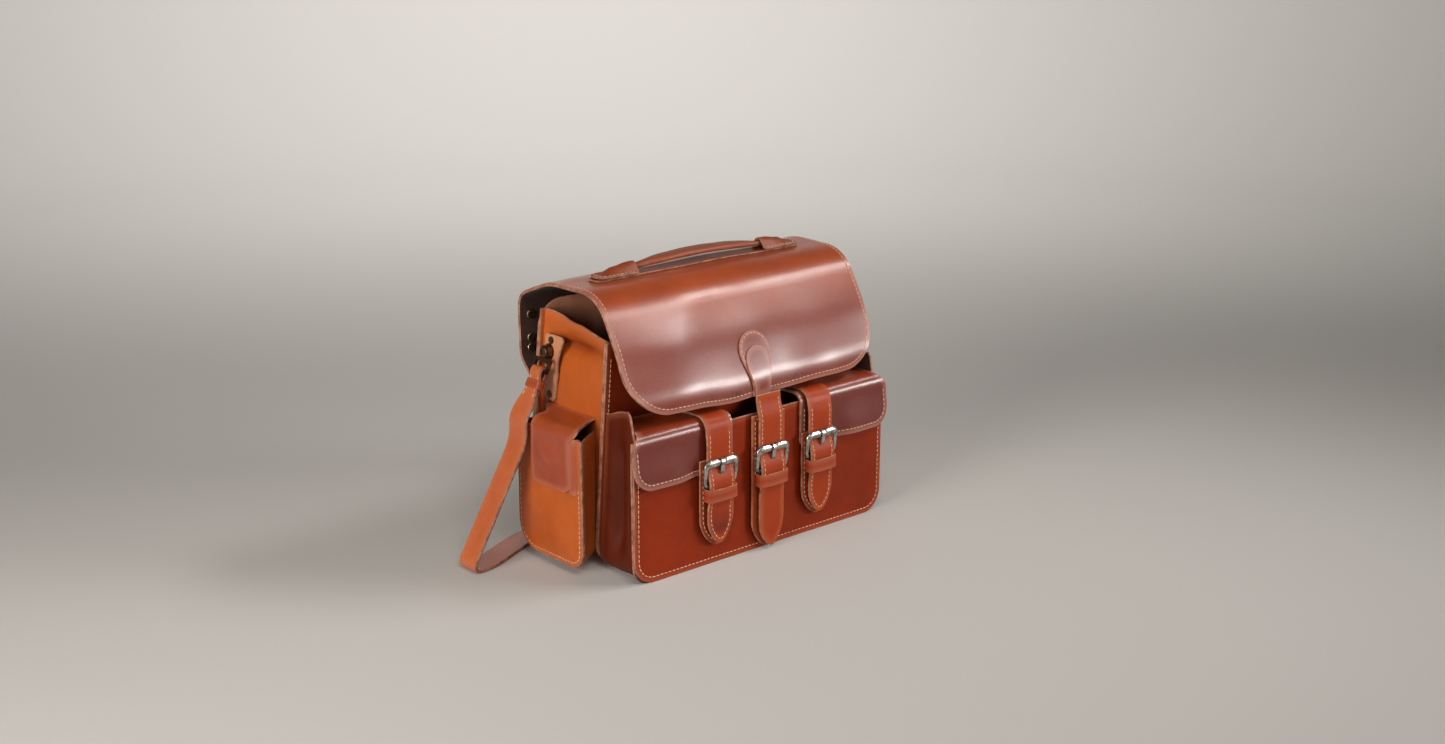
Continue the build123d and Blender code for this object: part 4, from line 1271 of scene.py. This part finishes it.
# ---------------------------------------------------------------- carrying handle
base_low, base_high = cad("handle_base")
handle_low, handle_high = cad("handle")
handle_y = (base_low[1] + base_high[1]) / 2
handle_t = flap_path.where(0, handle_y, flap_path.where(1, 254))
leather_piece(
    "handle_base_leather",
    flap_sheet,
    block((base_low[0], base_high[0]), (handle_t - 9, handle_t + 9), (6, 6, 6, 6)),
    "handle",
    ("handle_base",),
    "flap",
    "strap_leather",
    (2.1, 0.25),
    across_step=4.0,
)
for side, sign in SIDES.items():
    anchor_low, anchor_high = cad(f"handle_anchor_{side}")
    near, far = sorted((abs(anchor_low[0]), abs(anchor_high[0])))
    hump_top = anchor_high[2] - base_high[2] - STRAP

    def anchor_surface(s, t):
        hump = hump_top * np.cos(np.clip(s / 8.2, -1, 1) * math.pi / 2) ** 1.3
        rise = hump * eased(t - near, (-1, 1.0), (8, 0.96), (22, 0.72), (38, 0.0))
        return np.stack([sign * t, handle_y + s, base_high[2] + rise], -1)

    leather_piece(
        f"handle_anchor_{side}_leather",
        Sheet(anchor_surface, (0, 0, 1), ripple=0.25, ripple_size=12, seed=sign),
        block((-11, 11), (near, far), (4, 4, 9, 9), step=2.5),
        "handle",
        (f"handle_anchor_{side}",),
        "flap",
        "strap_leather",
        (STRAP, 0),
        seams=[(2.2, lambda s, t: t > near + 3)],
        across_step=1.6,
    )


def handle_piece():
    """The grip: a flat, filled leather roll that narrows to round necks inside its anchors."""
    neck_x = handle_high[0]
    axis_z = handle_low[2] + 2.3
    rise = handle_high[2] - axis_z - 2.5
    grip_x, flatness = 75.0, 0.72
    count, around = 90, 28
    vertices, rims = [], []
    for k in range(count + 1):
        x = -neck_x + 2 * neck_x * k / count
        share = min(1.0, abs(x) / grip_x)
        z = axis_z + rise * (1 - share**2)
        wide = float(eased(abs(x), (0, 9.4), (40, 8.6), (66, 5.0), (80, 2.5), (neck_x, 2.4)))
        thick = float(eased(abs(x), (0, 3.3), (50, 3.2), (74, 2.6), (neck_x, 2.2)))
        for j in range(around):
            angle = 2 * math.pi * j / around
            c, d = math.cos(angle), math.sin(angle)
            u = wide * math.copysign(abs(c) ** flatness, c)
            v = thick * math.copysign(abs(d) ** flatness, d)
            lump = 0.25 * noise.noise(Vector((x / 18, u / 9, v / 9)))
            vertices.append((x, handle_y + u, z + v + lump))
            rims.append(max(0.0, wide - abs(u)))
    faces = tube_faces(count + 1, around)
    roll = mesh_piece("handle_leather_roll", vertices, faces, [skin["handle"]], marks={"rim": rims})
    dress(roll, "handle", ("handle",))


handle_piece()

# ---------------------------------------------------------------- shoulder strap
OUT, DOWN = 0.4419, 0.8970
LOOP_X, LOOP_Z = 161.5, 173.3
SWIVEL_Y, STRAP_Y = 50.0, 54.0
FLOOR_Z = 1.5


def beside(along, across, side, y):
    """A point near one of the strap's loops, by distances along and across the strap there."""
    x = LOOP_X + along * OUT + across * DOWN
    z = LOOP_Z - along * DOWN + across * OUT
    return (side * x, y, z)


def strap_half(side):
    """Corners and radii from the loop on one side down to the floor."""
    loop = [(22, -1.6), (8, -1.6), (1, -3.7), (-3.7, -3.7)]
    loop += [(-3.7, 3.7), (1, 3.7), (8, 1.6), (21, 1.6)]
    corners = [beside(a, b, side, SWIVEL_Y) for a, b in loop]
    corners += [(side * 183.4, STRAP_Y, 133), (side * 184.2, STRAP_Y, 111)]
    corners += [(side * 247.6, STRAP_Y, FLOOR_Z), (side * 222, 58, FLOOR_Z)]
    radii = [6, 4, 3.4, 3.4, 4, 6, 30, 20, 45, 6.5, 50]
    return corners, radii


def shoulder_strap():
    corners, radii = strap_half(-1)
    mirrored, mirrored_radii = strap_half(1)
    middle = [(-150, 92, FLOOR_Z), (150, 92, FLOOR_Z)]
    path = Path(corners + middle + mirrored[::-1], radii + [120, 120] + mirrored_radii[::-1], 1.5)
    taper_from, taper_to = path.where(2, 158, 30) - 6, path.where(2, 146, 30) + 6

    def surface(s, t):
        point = path.at(t)
        run = unit(path.at(np.clip(t + 1, 0, path.total)) - path.at(np.clip(t - 1, 0, path.total)))
        across = unit(np.stack([-run[:, 1], np.abs(run[:, 0]) + 0.05, np.zeros(len(run))], -1))
        lean = np.where(np.abs(run[:, 2]) > 0.3, 0.0, 1.0)[:, None]
        across = unit(across * lean + np.array([0, 1.0, 0]) * (1 - lean))
        return point + across * s[:, None]

    def limits(t):
        from_end = np.minimum(t, path.total - t)
        reach = eased(from_end, (taper_from, 7.8), (taper_to, 13.0))
        return -reach, reach

    def near_end(s, t):
        from_end = np.minimum(t, path.total - t)
        return (from_end > 36) & (from_end < 60)

    leather_piece(
        "shoulder_strap_leather",
        Sheet(surface, None, ripple=0.0),
        (spaced(0, path.total, step=3.0), limits),
        "shoulder",
        ("shoulder_strap",),
        "carry_strap",
        "shoulder_leather",
        (1.4, -1.4),
        flesh="shoulder",
        seams=[(2.4, near_end)],
        across_step=3.5,
    )


shoulder_strap()
for side, sign in SIDES.items():
    half_y, half_n, down = 9.6, 4.2, 12.5
    ring = closed_ring(half_y, half_y, -half_n, half_n, 1.8, 0.4)

    def strap_keeper_place(u, v, s):
        return np.stack(beside(down + s, v, sign, SWIVEL_Y + u), -1)

    keeper(f"strap_keeper_{side}", ring, strap_keeper_place, 8.0, "carry_strap", "shoulder_leather")

# ---------------------------------------------------------------- CAD nodes that stay
CAD_SKINS = {
    "back_rivets": "brass",
    "tab_rivets": "bronze",
    "panel_magnets": "steel",
    "handle_backing": "flesh",
}
for side in SIDES:
    CAD_SKINS |= {f"swivel_post_{side}": "bronze", f"strap_ring_{side}": "bronze"}
for name in STRAPS:
    CAD_SKINS |= {f"{name}_prong": "pewter", f"{name}_magnet": "steel"}
for node, skin_name in CAD_SKINS.items():
    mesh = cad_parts[node].data
    mesh.materials.clear()
    mesh.materials.append(skin[skin_name])
    mesh.shade_smooth()
    mesh.set_sharp_from_angle(angle=math.radians(35))


# ---------------------------------------------------------------- floor, light and camera
FLOOR_GAP = 0.0002


def floor():
    """A pale round floor that curves up into a backdrop all round the bag."""
    reach, height, curve = 3.8, 4, 1.7
    profile = Path([(0.02, 0), (reach, 0), (reach, height)], curve, 0.05).points
    turns = [math.tau * i / 96 for i in range(97)]
    vertices = [(r * math.cos(a), r * math.sin(a), z) for r, z in profile for a in turns]
    mesh = bpy.data.meshes.new("studio_floor")
    mesh.from_pydata(vertices, [], grid_faces(len(profile), len(turns)))
    paper = Shader("studio_floor")
    paper.set(Base_Color=(0.56, 0.545, 0.52, 1), Roughness=0.8)
    mesh.materials.append(paper.material)
    mesh.shade_smooth()
    thing = add_object("studio_floor", mesh)
    thing.location.z = -FLOOR_GAP


def soft_light(name, place, power, size, colour, target=(0, 0, 0.13), spread=180):
    light = bpy.data.lights.new(name, "AREA")
    light.shape = "RECTANGLE"
    light.size, light.size_y = size
    light.energy = power
    light.spread = math.radians(spread)
    light.color = colour
    thing = add_object(name, light)
    thing.location = place
    thing.rotation_euler = (Vector(target) - Vector(place)).to_track_quat("-Z", "Y").to_euler()


CAMERA_PLACE = (-1.0911, -1.2410, 0.6201)
CAMERA_AZIMUTH, CAMERA_DOWN = math.radians(41.7), math.radians(15.8)
camera = bpy.data.cameras.new("camera")
camera.lens, camera.sensor_width = 45.49, 36.0
camera.clip_start = 0.05
camera_thing = add_object("camera", camera)
camera_thing.location = CAMERA_PLACE
camera_thing.rotation_euler = (math.pi / 2 - CAMERA_DOWN, 0, -CAMERA_AZIMUTH)
bpy.context.scene.camera = camera_thing

floor()
soft_light("key_light", (-0.7, -1.3, 1.7), 13.5, (1.0, 0.8), (1, 0.96, 0.91))
soft_light("band_light", (1.5, -0.9, 1.72), 1.15, (0.8, 0.26), (1, 0.97, 0.95), (0, -0.04, 0.22), 45)
soft_light("low_light", (1.6, -1.75, 0.68), 2.4, (0.8, 0.36), (1, 0.97, 0.95), (0, -0.07, 0.17), 45)
soft_light("left_light", (-1.7, -0.35, 0.62), 12, (0.8, 0.8), (1, 0.95, 0.90), (0, 0, 0.15), 130)
soft_light("backdrop_light", (0.6, 1.0, 2.3), 45, (1.5, 1.0), (1, 0.98, 0.96), (2.0, 2.8, 0.2), 130)
world = bpy.data.worlds.new("studio")
world.use_nodes = True
background = world.node_tree.nodes["Background"].inputs
background["Color"].default_value = (0.86, 0.83, 0.80, 1)
background["Strength"].default_value = 0.09
bpy.context.scene.world = world
bpy.context.scene.view_settings.view_transform = "Standard"
